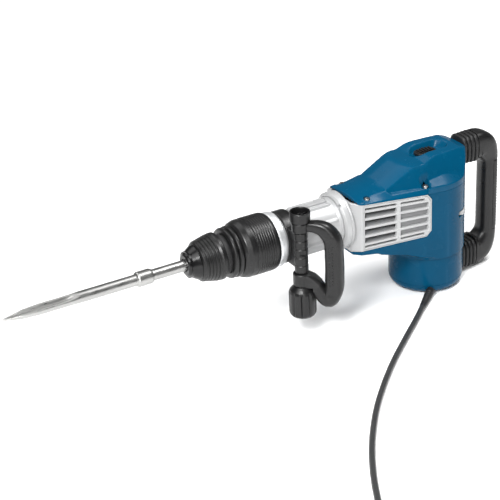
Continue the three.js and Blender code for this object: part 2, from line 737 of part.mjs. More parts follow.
function bellows(z) {
  const folds = 3;
  const front = BODY_R + HANDLE_TRAVEL + 1;
  const pitch = (HANDLE_FRONT_X - GAP - front) / folds;
  const parts = [along(roundedRectangle(-18, z - 23, 18, z + 23, 13), front, HANDLE_FRONT_X - GAP, 2)];
  for (let i = 0; i < folds; i += 1) {
    const x = front + i * pitch;
    parts.push(along(roundedRectangle(-21.5, z - 25.5, 21.5, z + 25.5, 15), x + 1, x + pitch - 1.6, 3));
  }
  const room = along(roundedRectangle(-14.5, z - 15, 14.5, z + 15, 10), front - 5, HANDLE_FRONT_X + 5, 2);
  return cut(join(...parts), room);
}

function handleGuide(z) {
  return join(barX(13.5, BODY_R + GAP, 68, 0, z), barX(7, 67, 103, 0, z));
}

function handleSpring(z) {
  return tubeX(11, 7.5, 68 + HANDLE_TRAVEL + GAP, HANDLE_FRONT_X - GAP, 0, z, SMALL_ROUND);
}

// ---------------------------------------------------------------- switch and cord

function slideSwitch() {
  const body = raise(roundedRectangle(-21, -11, 17, 11, 10.5), 229 + GAP, 234);
  const ribs = [-15, -9, -3, 3, 9].map((x) => box(x, x + 3, -9, 9, 233, 237));
  return join(body, ...ribs);
}

function speedDial() {
  const points = [];
  const notches = 20;
  for (let i = 0; i < notches * 2; i += 1) {
    const a = (i / (notches * 2)) * Math.PI * 2;
    const r = i % 2 ? 12 : 11.2;
    points.push([34 + r * Math.cos(a), -43.5 + r * Math.sin(a)]);
  }
  return cut(raise(outline(points), 130, 137), barZ(2.5, 120, 140, 34, -43.5, 12));
}

const RELIEF_ROOT = new THREE.Vector3(-30.5, -57.4, 9.5); // at the lower edge of the end cap
const RELIEF_WAY = new THREE.Vector3(-0.77, -0.636, -0.05); // direction in which the cord leaves
const RELIEF_LONG = 52;
const CORD_START = RELIEF_ROOT.clone().addScaledVector(RELIEF_WAY, RELIEF_LONG);
const CORD_ROUTE = [
  [-88, -105, 5.8], [-110, -123, 5.2], [-136, -144, 5.2], [-165, -168, 5.2],
  [-196, -194, 5.2], [-227, -222, 5.2], [-262, -256, 5.2], [-297, -293, 5.2],
  [-330, -333, 5.2], [-361, -375, 5.2], [-389, -419, 5.2], [-414, -464, 5.2],
  [-436, -510, 5.2], [-454, -552, 5.2], [-467, -593, 5.2],
];

function strainRelief() {
  const side = RELIEF_WAY.clone().cross(new THREE.Vector3(0, 0, 1)).normalize();
  const middle = RELIEF_ROOT.clone().addScaledVector(RELIEF_WAY, RELIEF_LONG / 2);
  return bend([RELIEF_ROOT, middle, CORD_START], [7.6, 6.4, 5.2], side, 12);
}

function powerCord() {
  const start = CORD_START.clone().addScaledVector(RELIEF_WAY, GAP);
  const straight = CORD_START.clone().addScaledVector(RELIEF_WAY, 8);
  const route = [start, straight, ...CORD_ROUTE.map(([x, y, z]) => new THREE.Vector3(x, y, z))];
  const section = new THREE.Shape();
  section.absarc(0, 0, CORD_R, 0, Math.PI * 2, false);
  const curve = new THREE.CatmullRomCurve3(route, false, 'centripetal');
  const tube = new THREE.ExtrudeGeometry(section, {
    steps: 40, bevelEnabled: false, curveSegments: 4, extrudePath: curve,
  });
  return solid(tube);
}

function cordCoil() {
  const z0 = COIL_CENTRE.z - COIL_HIGH / 2;
  const z1 = COIL_CENTRE.z + COIL_HIGH / 2;
  return turnZ([
    [COIL_IN_R, z0 + 4], [COIL_IN_R + 4, z0], [COIL_OUT_R - 4, z0], [COIL_OUT_R, z0 + 4],
    [COIL_OUT_R, z1 - 4], [COIL_OUT_R - 4, z1], [COIL_IN_R + 4, z1], [COIL_IN_R, z1 - 4],
    [COIL_IN_R, z0 + 4],
  ], COIL_CENTRE.x, COIL_CENTRE.y);
}

// A two-pin plug lying on its side, its bend relief towards the coil.
function powerPlug() {
  const x = COIL_CENTRE.x - 62;
  const geometry = new THREE.LatheGeometry([
    [0, 84], [5.5, 84], [7.5, 101], [12, 105], [18, 119], [18.5, 134], [17, 137], [0, 137],
  ].map(([r, y]) => new THREE.Vector2(r, COIL_CENTRE.y + y)), SMALL_ROUND);
  geometry.translate(x, 0, 19);
  const pins = [-9.5, 9.5].map((dx) => {
    const pin = new THREE.CylinderGeometry(2.4, 2.4, 22, 12);
    pin.translate(x + dx, COIL_CENTRE.y + 146, 19);
    return solid(pin);
  });
  return join(solid(geometry), ...pins);
}

// ---------------------------------------------------------------- assembly

const casing = new THREE.Group();
casing.add(
  mesh('gear_housing', gearHousing(), CAST),
  mesh('grille_left', grille(-1), GRILLE),
  mesh('grille_right', grille(1), GRILLE),
  mesh('motor_housing', motorHousing(), BLUE),
  mesh('motor_end_cap', motorEndCap(), BLUE),
  mesh('top_cover', topCover(), BLUE),
  mesh('bearing_plate', bearingPlate(), CAST),
  mesh('electronics_module', box(18, 46, -26, 26, 150, 184), CIRCUIT),
);
screwPlaces().forEach((place, i) => {
  casing.add(mesh(`cover_screw_${i + 1}`, coverScrew(place), DARK_STEEL));
});

const barrel = new THREE.Group();
barrel.add(
  mesh('barrel_neck', barrelNeck(), CAST),
  mesh('neck_collar', neckCollar(), CAST),
  mesh('front_shroud', frontShroud(), BLACK),
  mesh('silver_ring', silverRing(), SILVER),
  mesh('cylinder_liner', cylinderLiner(), STEEL),
);

const holder = new THREE.Group();
holder.add(
  mesh('tool_sleeve', toolSleeve(), STEEL),
  mesh('gap_band', gapBand(), RUBBER),
  mesh('locking_sleeve', lockingSleeve(), BLACK),
  mesh('dust_cap', dustCap(), RUBBER),
  mesh('adjusting_ring_front', adjustingRing(RINGS_FRONT_X, -373), BLACK),
  mesh('adjusting_ring_rear', adjustingRing(-373 + GAP, SHROUD_FRONT_X - GAP), BLACK),
  mesh('chisel', chisel(), STEEL),
);

const mechanism = new THREE.Group();
mechanism.add(
  mesh('beat_piece', beatPiece(), STEEL),
  mesh('ram', ram(), STEEL),
  mesh('piston', piston(), STEEL),
  mesh('wrist_pin', wristPin(), STEEL),
  mesh('connecting_rod', conRod(), DARK_STEEL),
  mesh('crank_gear', crankGear(), DARK_STEEL),
  mesh('crank_bearing', tubeZ(17, 10.2, SPLIT_Z + 5 + GAP, GEAR_Z - 2 * GAP, CRANK_X, 0), STEEL),
);

const motor = new THREE.Group();
motor.add(
  mesh('armature_shaft', armatureShaft(), STEEL),
  mesh('armature_core', tubeZ(27, 5.05, 36, 77, 0, 0, 32), COPPER),
  mesh('commutator', tubeZ(14, 5.05, 21.5, 32), COPPER),
  mesh('cooling_fan', coolingFan(), BLACK),
  mesh('stator', stator(), DARK_STEEL),
  mesh('upper_bearing', tubeZ(13, 5.2, 99.3, 106.5), STEEL),
  mesh('lower_bearing', tubeZ(10, 4.1, 5.2, 12), STEEL),
  mesh('brush_holder_left', brushHolder(-1), BRASS),
  mesh('brush_holder_right', brushHolder(1), BRASS),
);

const sideHandle = new THREE.Group();
sideHandle.add(
  mesh('clamp_band', clampBand(), BLACK),
  mesh('handle_bolt', handleBolt(), DARK_STEEL),
  mesh('bolt_cap', boltCap(), BLACK),
  mesh('side_loop', sideLoop(), BLACK),
  mesh('clamp_knob', clampKnob(), BLACK),
);

const rearGroup = new THREE.Group();
rearGroup.add(
  mesh('rear_handle', rearHandle(), BLACK),
  mesh('rear_grip', rearGrip(), RUBBER),
  mesh('bellows_upper', bellows(ARM_UP_Z), RUBBER),
  mesh('bellows_lower', bellows(ARM_LOW_Z), RUBBER),
  mesh('handle_guide_upper', handleGuide(ARM_UP_Z), STEEL),
  mesh('handle_guide_lower', handleGuide(ARM_LOW_Z), STEEL),
  mesh('handle_spring_upper', handleSpring(ARM_UP_Z), STEEL),
  mesh('handle_spring_lower', handleSpring(ARM_LOW_Z), STEEL),
);

const controls = new THREE.Group();
controls.add(
  mesh('slide_switch', slideSwitch(), BLACK),
  mesh('speed_dial', speedDial(), BLACK),
  mesh('strain_relief', strainRelief(), RUBBER),
  mesh('power_cord', powerCord(), RUBBER),
  mesh('cord_coil', cordCoil(), RUBBER),
  mesh('power_plug', powerPlug(), RUBBER),
);

const hammer = new THREE.Group();
hammer.add(casing, barrel, holder, mechanism, motor, sideHandle, rearGroup, controls);

export default hammer;
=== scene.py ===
"""Demolition hammer: detailed pieces, materials, cord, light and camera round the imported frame.

Shapes are written in millimetres in the row frame and scaled to metres when a piece is made.
"""
import bisect
import math

import bmesh
import bpy
from mathutils import Matrix, Vector


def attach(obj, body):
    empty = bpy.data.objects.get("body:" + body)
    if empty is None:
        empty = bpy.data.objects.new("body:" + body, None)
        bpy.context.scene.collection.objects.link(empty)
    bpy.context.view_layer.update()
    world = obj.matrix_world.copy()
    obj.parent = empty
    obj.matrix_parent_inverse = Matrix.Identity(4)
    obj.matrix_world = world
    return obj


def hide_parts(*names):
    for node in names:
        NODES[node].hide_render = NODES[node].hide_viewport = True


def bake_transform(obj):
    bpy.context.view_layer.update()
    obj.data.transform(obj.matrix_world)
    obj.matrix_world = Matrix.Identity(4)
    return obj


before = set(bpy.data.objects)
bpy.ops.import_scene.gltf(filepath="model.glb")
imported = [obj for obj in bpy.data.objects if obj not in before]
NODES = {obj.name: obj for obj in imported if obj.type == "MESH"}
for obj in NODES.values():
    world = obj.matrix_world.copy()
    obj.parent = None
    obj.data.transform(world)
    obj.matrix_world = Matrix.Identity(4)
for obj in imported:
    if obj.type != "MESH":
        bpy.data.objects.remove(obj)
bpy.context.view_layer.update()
MM = 0.001

AXIS_Z = 158  # height of the hammer's own axis, which lies along X at y = 0
SEAM = [(-171, 198.5), (-156, 194.5), (-31, 187), (70, 187)]  # foot of the top cover, as x and z
BOLT_X, BOLT_Y = -276, -57  # the upright bolt of the side handle
LOOP_ANGLE = math.radians(-40)  # the way the side grip points from its bolt
COVER_SCREWS = ((-140, -36), (-37, -50), (-140, 36), (-37, 50))

# --- camera


CAMERA_AZ, CAMERA_EL, CAMERA_ROLL = math.radians(-28.5), math.radians(27), math.radians(-3)
CAMERA_FOCUS = Vector((-357, 0, AXIS_Z))
LENS, SENSOR_WIDE = 108, 36
CAMERA_AWAY = 2317.68  # from the focus
SHIFT_RIGHT, SHIFT_DOWN = 20.09, 0.62  # how far the camera is moved sideways off the line to the focus


def make_camera():
    az, el, roll = CAMERA_AZ, CAMERA_EL, CAMERA_ROLL
    back = Vector((math.sin(az) * math.cos(el), -math.cos(az) * math.cos(el), math.sin(el)))
    right = Vector((math.cos(az), math.sin(az), 0))
    up = back.cross(right)
    x = math.cos(roll) * right + math.sin(roll) * up
    y = math.cos(roll) * up - math.sin(roll) * right
    place = (CAMERA_FOCUS + x * SHIFT_RIGHT - y * SHIFT_DOWN + back * CAMERA_AWAY) * MM
    data = bpy.data.cameras.new("camera")
    data.sensor_width = SENSOR_WIDE
    data.lens = LENS
    data.clip_end = 100
    cam = bpy.data.objects.new("camera", data)
    turn = Matrix((x, y, back)).transposed().to_4x4()
    cam.matrix_world = Matrix.Translation(place) @ turn
    bpy.context.scene.collection.objects.link(cam)
    bpy.context.scene.camera = cam


make_camera()

# --- materials


def material(name, colour, rough, metal=0.0, tint=0.06, tint_scale=30, grain=0.0, grain_scale=900,
             streak=None, rough_vary=0.08, specks=None, edge_lighten=0.0, cells=False, specular=0.5):
    """A surface with broken-up colour and roughness, a fine grain as bump, and a lighter colour on sharp
    edges.
    """
    mat = bpy.data.materials.new(name)
    mat.use_nodes = True
    mat.diffuse_color = (*colour, 1)
    nodes, links = mat.node_tree.nodes, mat.node_tree.links
    shader = nodes["Principled BSDF"]
    shader.inputs["Metallic"].default_value = metal
    shader.inputs["Specular IOR Level"].default_value = specular
    where = nodes.new("ShaderNodeTexCoord").outputs["Object"]
    streaked = where
    if streak:
        turn = nodes.new("ShaderNodeMapping")
        turn.inputs["Scale"].default_value = streak
        links.new(where, turn.inputs["Vector"])
        streaked = turn.outputs["Vector"]

    def clouds(vector, scale, detail=3.0):
        node = nodes.new("ShaderNodeTexNoise")
        node.inputs["Scale"].default_value = scale
        node.inputs["Detail"].default_value = detail
        links.new(vector, node.inputs["Vector"])
        return node.outputs["Fac"]

    def ramp(value, low, high, out_low, out_high):
        node = nodes.new("ShaderNodeMapRange")
        for key, number in zip(("From Min", "From Max", "To Min", "To Max"), (low, high, out_low, out_high)):
            node.inputs[key].default_value = number
        links.new(value, node.inputs["Value"])
        return node.outputs["Result"]

    def mix(factor, first, second, mode="MIX"):
        node = nodes.new("ShaderNodeMix")
        node.data_type = "RGBA"
        node.blend_type = mode
        links.new(factor, node.inputs[0])
        for socket, value in ((node.inputs[6], first), (node.inputs[7], second)):
            if isinstance(value, tuple):
                socket.default_value = (*value, 1)
            else:
                links.new(value, socket)
        return node.outputs[2]

    dark = tuple(c * (1 - tint) for c in colour)
    light = tuple(min(1, c * (1 + tint)) for c in colour)
    shade = mix(ramp(clouds(streaked, tint_scale), 0.3, 0.7, 0, 1), dark, light)
    if specks:
        speck_colour, speck_scale, amount = specks
        dots = nodes.new("ShaderNodeTexVoronoi")
        dots.inputs["Scale"].default_value = speck_scale
        links.new(where, dots.inputs["Vector"])
        shade = mix(ramp(dots.outputs["Distance"], amount, amount + 0.08, 1, 0), shade, speck_colour)
    # lighter colour where the mesh is pointy, on sharp edges
    if edge_lighten:
        edge = ramp(nodes.new("ShaderNodeNewGeometry").outputs["Pointiness"], 0.52, 0.6, 0, edge_lighten)
        edge_colour = tuple(min(1, c * 1.6 + 0.03) for c in colour)
        shade = mix(edge, shade, edge_colour)
    links.new(shade, shader.inputs["Base Color"])
    vary = ramp(clouds(streaked, tint_scale * 4), 0.25, 0.75, rough - rough_vary, rough + rough_vary)
    links.new(vary, shader.inputs["Roughness"])
    if grain:
        if cells:
            node = nodes.new("ShaderNodeTexVoronoi")
            node.feature = "SMOOTH_F1"
            node.inputs["Scale"].default_value = grain_scale
            links.new(streaked, node.inputs["Vector"])
            fine = node.outputs["Distance"]
        else:
            fine = clouds(streaked, grain_scale, 4.0)
        bump = nodes.new("ShaderNodeBump")
        bump.inputs["Strength"].default_value = grain
        bump.inputs["Distance"].default_value = 0.0004
        links.new(fine, bump.inputs["Height"])
        links.new(bump.outputs["Normal"], shader.inputs["Normal"])
    return mat


BLUE = material("blue_casing", (0.0, 0.048, 0.102), 0.24, tint=0.07, tint_scale=14, grain=0.08,
                grain_scale=1500, edge_lighten=0.2, specular=0.08)
CAST = material("cast_alloy", (0.37, 0.373, 0.376), 0.42, metal=0.3, tint=0.05, tint_scale=26, grain=0.28,
                grain_scale=900, cells=True, edge_lighten=0.1)
GRILLE = material("grey_grille", (0.36, 0.363, 0.365), 0.40, tint=0.03, tint_scale=20, grain=0.08,
                  grain_scale=1600)
# darker grey for the grille's recess floors: painted shade, the same grey darkened as if in shadow
GRILLE_PAINTED_SHADE = material("grille_painted_shade", (0.17, 0.172, 0.175), 0.5, tint=0.06, tint_scale=20, grain=0.12,
                       grain_scale=1600)
SILVER = material("silver_ring", (0.70, 0.71, 0.72), 0.38, metal=0.7, tint=0.05, tint_scale=200, grain=0.35,
                  grain_scale=1100, specks=((0.36, 0.37, 0.38), 900, 0.10))
BLACK = material("black_plastic", (0.006, 0.006, 0.0062), 0.34, tint=0.2, tint_scale=24, grain=0.16,
                 grain_scale=1300, edge_lighten=0.3, specular=0.34)
GLOSS = material("black_gloss", (0.004, 0.004, 0.0043), 0.2, tint=0.15, tint_scale=24, grain=0.05,
                 grain_scale=900, edge_lighten=0.3, specular=0.3)
RUBBER = material("rubber", (0.008, 0.008, 0.0083), 0.42, tint=0.2, tint_scale=40, grain=0.3,
                  grain_scale=1000, cells=True, edge_lighten=0.3, specular=0.3)
STEEL = material("steel", (0.36, 0.36, 0.352), 0.32, metal=1.0, tint=0.10, tint_scale=16, grain=0.12,
                 grain_scale=420, streak=(1, 9, 9), edge_lighten=0.2)
DARK_STEEL = material("dark_steel", (0.16, 0.165, 0.17), 0.38, metal=0.9, tint=0.15, tint_scale=60,
                      grain=0.15)
COPPER = material("copper", (0.62, 0.24, 0.11), 0.32, metal=1.0, tint=0.15, tint_scale=60, grain=0.2,
                  streak=(1, 1, 12))
BRASS = material("brass", (0.58, 0.42, 0.16), 0.34, metal=1.0, tint=0.12, tint_scale=60, grain=0.12)
CIRCUIT = material("circuit", (0.02, 0.11, 0.05), 0.5, tint=0.2, tint_scale=220, grain=0.2,
                   specks=((0.5, 0.42, 0.2), 420, 0.18))
DARK = material("deep_shadow_plastic", (0.006, 0.006, 0.0065), 0.7, tint=0.2, grain=0.2)

# --- mesh helpers


def mesh_of(points, faces):
    me = bpy.data.meshes.new("made")
    me.from_pydata([tuple(p) for p in points], [], faces)
    bm = bmesh.new()
    bm.from_mesh(me)
    bmesh.ops.recalc_face_normals(bm, faces=bm.faces)
    bm.to_mesh(me)
    bm.free()
    return me


def soften(points, radius=0.0, closed=False, steps=4):
    """Rounds the corners of a 2-D line; a point's third number is its own radius."""
    out = []
    count = len(points)
    for i, point in enumerate(points):
        here = Vector(point[:2])
        r = point[2] if len(point) > 2 else radius
        if r <= 0 or (not closed and i in (0, count - 1)):
            out.append(tuple(here))
            continue
        before = Vector(points[i - 1][:2]) - here
        after = Vector(points[(i + 1) % count][:2]) - here
        if before.length < 1e-6 or after.length < 1e-6:
            continue
        angle = before.angle(after)
        if angle > math.radians(177):
            out.append(tuple(here))
            continue
        reach = min(r / math.tan(angle / 2), before.length * 0.47, after.length * 0.47)
        start, end = here + before.normalized() * reach, here + after.normalized() * reach
        for k in range(steps + 1):
            t = k / steps
            out.append(tuple(start * (1 - t) ** 2 + here * 2 * t * (1 - t) + end * t * t))
    return out


def lathe(profile, axis="X", at=(0, AXIS_Z), n=96, radius=0.0, steps=3, shape_of=None):
    """Turns a line of (distance along the axis, radius) about an X or Z axis through at."""
    ring_line = profile[0][:2] == profile[-1][:2]
    line = soften(profile[:-1] if ring_line else profile, radius, ring_line, steps)
    points, rings = [], []
    for a, r in line:
        steps_round = 1 if r < 1e-6 else n
        rings.append(range(len(points), len(points) + steps_round))
        for j in range(steps_round):
            turn = 2 * math.pi * j / n
            rr = shape_of(a, r, turn) if shape_of and r > 1e-6 else r
            p, q = at[0] + rr * math.cos(turn), at[1] + rr * math.sin(turn)
            points.append((a, p, q) if axis == "X" else (p, q, a))
    faces = []
    pairs = list(zip(rings, rings[1:])) + ([(rings[-1], rings[0])] if ring_line else [])
    for low, high in pairs:
        for j in range(n):
            k = (j + 1) % n
            corner = [low[j % len(low)], low[k % len(low)], high[k % len(high)], high[j % len(high)]]
            face = list(dict.fromkeys(corner))
            if len(face) > 2:
                faces.append(face)
    if not ring_line:
        faces += [list(ring) for ring in (rings[0], rings[-1]) if len(ring) > 1]
    return mesh_of(points, faces)


def prism(outline, low, high, way="Z"):
    """A 2-D outline carried along Z (of x, y), Y (of x, z) or X (of y, z)."""
    n = len(outline)
    order = {"Z": (0, 1, 2), "Y": (0, 2, 1), "X": (2, 0, 1)}[way]
    points = [tuple((a, b, c)[k] for k in order) for c in (low, high) for a, b in outline]
    faces = [list(range(n)), list(range(n, 2 * n))]
    faces += [[i, (i + 1) % n, n + (i + 1) % n, n + i] for i in range(n)]
    return mesh_of(points, faces)


def box(x0, x1, y0, y1, z0, z1):
    return prism([(x0, y0), (x1, y0), (x1, y1), (x0, y1)], z0, z1)


def rounded(x0, y0, x1, y1, r, steps=6):
    return soften([(x0, y0), (x1, y0), (x1, y1), (x0, y1)], r, True, steps)


def rod(r, z0, z1, x, y, n=40, chamfer=0.0):
    line = [(z0, 0), (z0, r - chamfer), (z0 + chamfer, r), (z1 - chamfer, r), (z1, r - chamfer), (z1, 0)]
    if not chamfer:
        line = [(z0, 0), (z0, r), (z1, r), (z1, 0)]
    return lathe(line, "Z", (x, y), n)


def sweep(centres, sections, side):
    """Joins 2-D sections along a planar line of centres; side is the direction of each section's x."""
    side = Vector(side)
    centres = [Vector(c) for c in centres]
    n = len(sections[0])
    points = []
    for i, centre in enumerate(centres):
        ahead = centres[min(i + 1, len(centres) - 1)] - centres[max(i - 1, 0)]
        up = ahead.normalized().cross(side).normalized()
        points += [centre + side * a + up * b for a, b in sections[i]]
    faces = []
    for i in range(len(centres) - 1):
        for j in range(n):
            k = (j + 1) % n
            faces.append([i * n + j, i * n + k, (i + 1) * n + k, (i + 1) * n + j])
    faces += [list(range(n)), list(range((len(centres) - 1) * n, len(centres) * n))]
    return mesh_of(points, faces)


def oval(a, b, power=2.0, n=40):
    """A superellipse: power 2 is an ellipse, and more is squarer."""
    out = []
    for j in range(n):
        t = 2 * math.pi * j / n
        c, s = math.cos(t), math.sin(t)
        out.append((math.copysign(abs(c) ** (2 / power), c) * a,
                    math.copysign(abs(s) ** (2 / power), s) * b))
    return out


def curve_through(points, step):
    """Even points along a centripetal Catmull-Rom line through the given ones."""
    points = [Vector(p) for p in points]
    ends = [points[0] * 2 - points[1], *points, points[-1] * 2 - points[-2]]
    fine = []
    for i in range(1, len(ends) - 2):
        p0, p1, p2, p3 = ends[i - 1:i + 3]
        t0 = 0
        t1 = t0 + (p1 - p0).length ** 0.5
        t2 = t1 + (p2 - p1).length ** 0.5
        t3 = t2 + (p3 - p2).length ** 0.5
        for k in range(24):
            t = t1 + (t2 - t1) * k / 24
            a1 = p0 * ((t1 - t) / (t1 - t0)) + p1 * ((t - t0) / (t1 - t0))
            a2 = p1 * ((t2 - t) / (t2 - t1)) + p2 * ((t - t1) / (t2 - t1))
            a3 = p2 * ((t3 - t) / (t3 - t2)) + p3 * ((t - t2) / (t3 - t2))
            b1 = a1 * ((t2 - t) / (t2 - t0)) + a2 * ((t - t0) / (t2 - t0))
            b2 = a2 * ((t3 - t) / (t3 - t1)) + a3 * ((t - t1) / (t3 - t1))
            fine.append(b1 * ((t2 - t) / (t2 - t1)) + b2 * ((t - t1) / (t2 - t1)))
    fine.append(points[-1])
    return even(fine, step)


def even(fine, step):
    lengths = [0.0]
    for a, b in zip(fine, fine[1:]):
        lengths.append(lengths[-1] + (b - a).length)
    count = max(2, round(lengths[-1] / step))
    out = []
    for k in range(count + 1):
        want = lengths[-1] * k / count
        i = min(max(bisect.bisect_left(lengths, want), 1), len(fine) - 1)
        t = (want - lengths[i - 1]) / max(1e-9, lengths[i] - lengths[i - 1])
        out.append(fine[i - 1].lerp(fine[i], t))
    return out


def ease(t):
    """Goes from 0 to 1 with a level start and end."""
    return t * t * (3 - 2 * t)


def between(table, x):
    """Straight-line interpolation in a list of (x, value)."""
    if x <= table[0][0]:
        return table[0][1]
    for (x0, v0), (x1, v1) in zip(table, table[1:]):
        if x <= x1:
            return v0 + (v1 - v0) * (x - x0) / (x1 - x0)
    return table[-1][1]


def triangles(me):
    bm = bmesh.new()
    bm.from_mesh(me)
    bmesh.ops.triangulate(bm, faces=bm.faces)
    bm.to_mesh(me)
    bm.free()


def shape(first, *steps):
    """Adds (+), takes away (-) or keeps the common part (*) of meshes in turn."""
    link = bpy.context.scene.collection.objects.link
    for me in (first, *[me for _, me in steps]):
        triangles(me)
    base = bpy.data.objects.new("base", first)
    link(base)
    others = []
    for sign, me in steps:
        other = bpy.data.objects.new("tool", me)
        link(other)
        others.append(other)
        cut = base.modifiers.new("cut", "BOOLEAN")
        cut.solver = "MANIFOLD"
        cut.operation = {"-": "DIFFERENCE", "+": "UNION", "*": "INTERSECT"}[sign]
        cut.object = other
    graph = bpy.context.evaluated_depsgraph_get()
    made = bpy.data.meshes.new_from_object(base.evaluated_get(graph))
    for o in (base, *others):
        bpy.data.objects.remove(o)
    bm = bmesh.new()
    bm.from_mesh(made)
    bmesh.ops.remove_doubles(bm, verts=bm.verts, dist=0.004)
    bmesh.ops.dissolve_degenerate(bm, edges=bm.edges, dist=0.004)
    bm.to_mesh(made)
    bm.free()
    return made


def joined(*meshes):
    """Several closed bodies as one mesh, without merging them."""
    bm = bmesh.new()
    for me in meshes:
        bm.from_mesh(me)
    out = bpy.data.meshes.new("made")
    bm.to_mesh(out)
    bm.free()
    return out


def moved(me, matrix):
    out = me.copy()
    out.transform(matrix)
    return out


def about_axis(me, angle=0.0):
    """Puts a mesh made round X at y = z = 0 on the hammer's axis, turned by an angle."""
    return moved(me, Matrix.Translation((0, 0, AXIS_Z)) @ Matrix.Rotation(angle, 4, "X"))


def about_bolt(me, degrees):
    """Turns a mesh round the side handle's bolt."""
    turn = Matrix.Rotation(math.radians(degrees), 4, "Z")
    away = Matrix.Translation((BOLT_X, BOLT_Y, 0))
    return moved(me, away @ turn @ Matrix.Translation((-BOLT_X, -BOLT_Y, 0)))


def bolt_lathe(line, n=64, steps=3, shape_of=None):
    return lathe(line, "Z", (BOLT_X, BOLT_Y), n, 0, steps, shape_of)


def edge_round(obj, width, angle=32, segments=3):
    mod = obj.modifiers.new("edge_round", "BEVEL")
    mod.width = width * MM
    mod.segments = segments
    mod.limit_method = "ANGLE"
    mod.angle_limit = math.radians(angle)
    mod.use_clamp_overlap = False
    mod.miter_outer = "MITER_ARC"
    mod.harden_normals = False


def piece(name, me, mat, body, replaces=(), bevel=0.0, angle=32, sharp=38, segments=3):
    """Makes one visible piece on a body, with one material."""
    me.transform(Matrix.Scale(MM, 4))
    me.name = name
    me.materials.clear()
    me.materials.append(mat)
    me.polygons.foreach_set("use_smooth", [True] * len(me.polygons))
    me.set_sharp_from_angle(angle=math.radians(sharp))
    obj = bpy.data.objects.new(name, me)
    bpy.context.scene.collection.objects.link(obj)
    if bevel:
        edge_round(obj, bevel, angle, segments)
    normals = obj.modifiers.new("normals", "WEIGHTED_NORMAL")
    normals.keep_sharp = True
    if body:
        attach(obj, body)
    if replaces:
        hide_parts(*replaces)
    return obj


# --- cord, coil and plug

CORD_D = 9.5
RELIEF_ROOT = Vector((-30.5, -57.4, 9.5))
RELIEF_WAY = Vector((-0.77, -0.636, -0.05))
RELIEF_LONG = 52
CORD_START = RELIEF_ROOT + RELIEF_WAY * RELIEF_LONG
CORD_ROUTE = [
    (-88, -105, 5.8), (-110, -123, 5.2), (-136, -144, 5.2), (-165, -168, 5.2), (-196, -194, 5.2),
    (-227, -222, 5.2), (-262, -256, 5.2), (-297, -293, 5.2), (-330, -333, 5.2), (-361, -375, 5.2),
    (-389, -419, 5.2), (-414, -464, 5.2), (-436, -510, 5.2), (-454, -552, 5.2), (-464.5, -605, 5.2),
]
COIL_X, COIL_Y = -530, -640
COIL_KEYS = [  # turns, radius and height of the cord's middle
    (0, 66.5, 5.2), (2, 46.1, 5.2), (3, 46.1, 14.7), (5, 66.5, 14.7), (6, 66.5, 24.2), (8, 46.1, 24.2),
    (9, 46.1, 33.7), (10.5, 62, 33.7),
]
POINTS_PER_TURN = 24
PLUG_X, PLUG_Z = -592, 19


def cord_points():
    """The cord's middle: the listed run, the coil's turns, and the way down to the plug."""
    points = [CORD_START, CORD_START + RELIEF_WAY * 8, *[Vector(p) for p in CORD_ROUTE]]
    for i in range(int(COIL_KEYS[-1][0] * POINTS_PER_TURN) + 1):
        t = i / POINTS_PER_TURN
        key = max(k for k in range(len(COIL_KEYS) - 1) if COIL_KEYS[k][0] <= t)
        (t0, r0, z0), (t1, r1, z1) = COIL_KEYS[key], COIL_KEYS[min(key + 1, len(COIL_KEYS) - 1)]
        f = min(1, (t - t0) / (t1 - t0))
        r, z = r0 + (r1 - r0) * f, z0 + (z1 - z0) * ease(f)
        a = -2 * math.pi * t
        points.append(Vector((COIL_X + r * math.cos(a), COIL_Y + r * math.sin(a), z)))
    top = COIL_KEYS[-1][2]
    for y in (-628, -616, -604, -592, -580, -568):
        f = min(1, max(0, (y + 622) / 60))
        points.append(Vector((PLUG_X, y, top + (PLUG_Z - top) * ease(f))))
    points.append(Vector((PLUG_X, -556.3, PLUG_Z)))
    return points


def make_cord():
    points = cord_points()
    data = bpy.data.curves.new("power_cord_run", "CURVE")
    data.dimensions = "3D"
    data.bevel_depth = CORD_D / 2 * MM
    data.bevel_resolution = 5
    data.resolution_u = 4
    data.use_fill_caps = True
    spline = data.splines.new("BEZIER")
    spline.bezier_points.add(len(points) - 1)
    for knot, p in zip(spline.bezier_points, points):
        knot.co = p * MM
        knot.handle_left_type = knot.handle_right_type = "AUTO"
    data.materials.append(material("cord_rubber", (0.02, 0.0205, 0.021), 0.42, tint=0.15, tint_scale=60,
                                   grain=0.15, grain_scale=700))
    obj = bpy.data.objects.new("power_cord_run", data)
    bpy.context.scene.collection.objects.link(obj)
    length = sum((b - a).length for a, b in zip(points, points[1:])) * MM
    return obj, round(length, 2)


def make_plug():
    """A moulded two-pin plug: ribbed bend relief, waisted body and two round pins."""
    line = [(-556, 0), (-556, 5.6), (-553, 6)]
    for i in range(6):
        y = -552 + i * 3.1
        line += [(y, 6.2 + i * 0.25), (y + 0.4, 5.4 + i * 0.25), (y + 1.3, 5.4 + i * 0.25),
                 (y + 1.7, 6.3 + i * 0.25)]
    line += [(-532, 9, 2), (-521, 17.2, 6), (-508, 18.3, 3), (-503.2, 17.2, 1.5), (-503.2, 0)]

    def grip(a, r, t):
        return r * (1 - 0.10 * abs(math.sin(t)) ** 3) if a > -533 else r
    body = moved(lathe(line, "X", (0, 0), 64, 0.25, 3, grip), Matrix.Rotation(math.pi / 2, 4, "Z"))
    body = moved(body, Matrix.Translation((PLUG_X, 0, PLUG_Z)))
    pins = []
    pin_line = [(-505, 0), (-505, 2.4), (-485, 2.4, 1.2), (-483.2, 1.4, 0.8), (-483.2, 0)]
    for dx in (-9.5, 9.5):
        pin = lathe(pin_line, "X", (0, 0), 24)
        pin = moved(pin, Matrix.Rotation(math.pi / 2, 4, "Z"))
        pins.append(moved(pin, Matrix.Translation((PLUG_X + dx, 0, PLUG_Z))))
    return (piece("plug_body", body, RUBBER, "housing", ("power_plug",)),
            piece("plug_pins", joined(*pins), STEEL, "housing", ()))


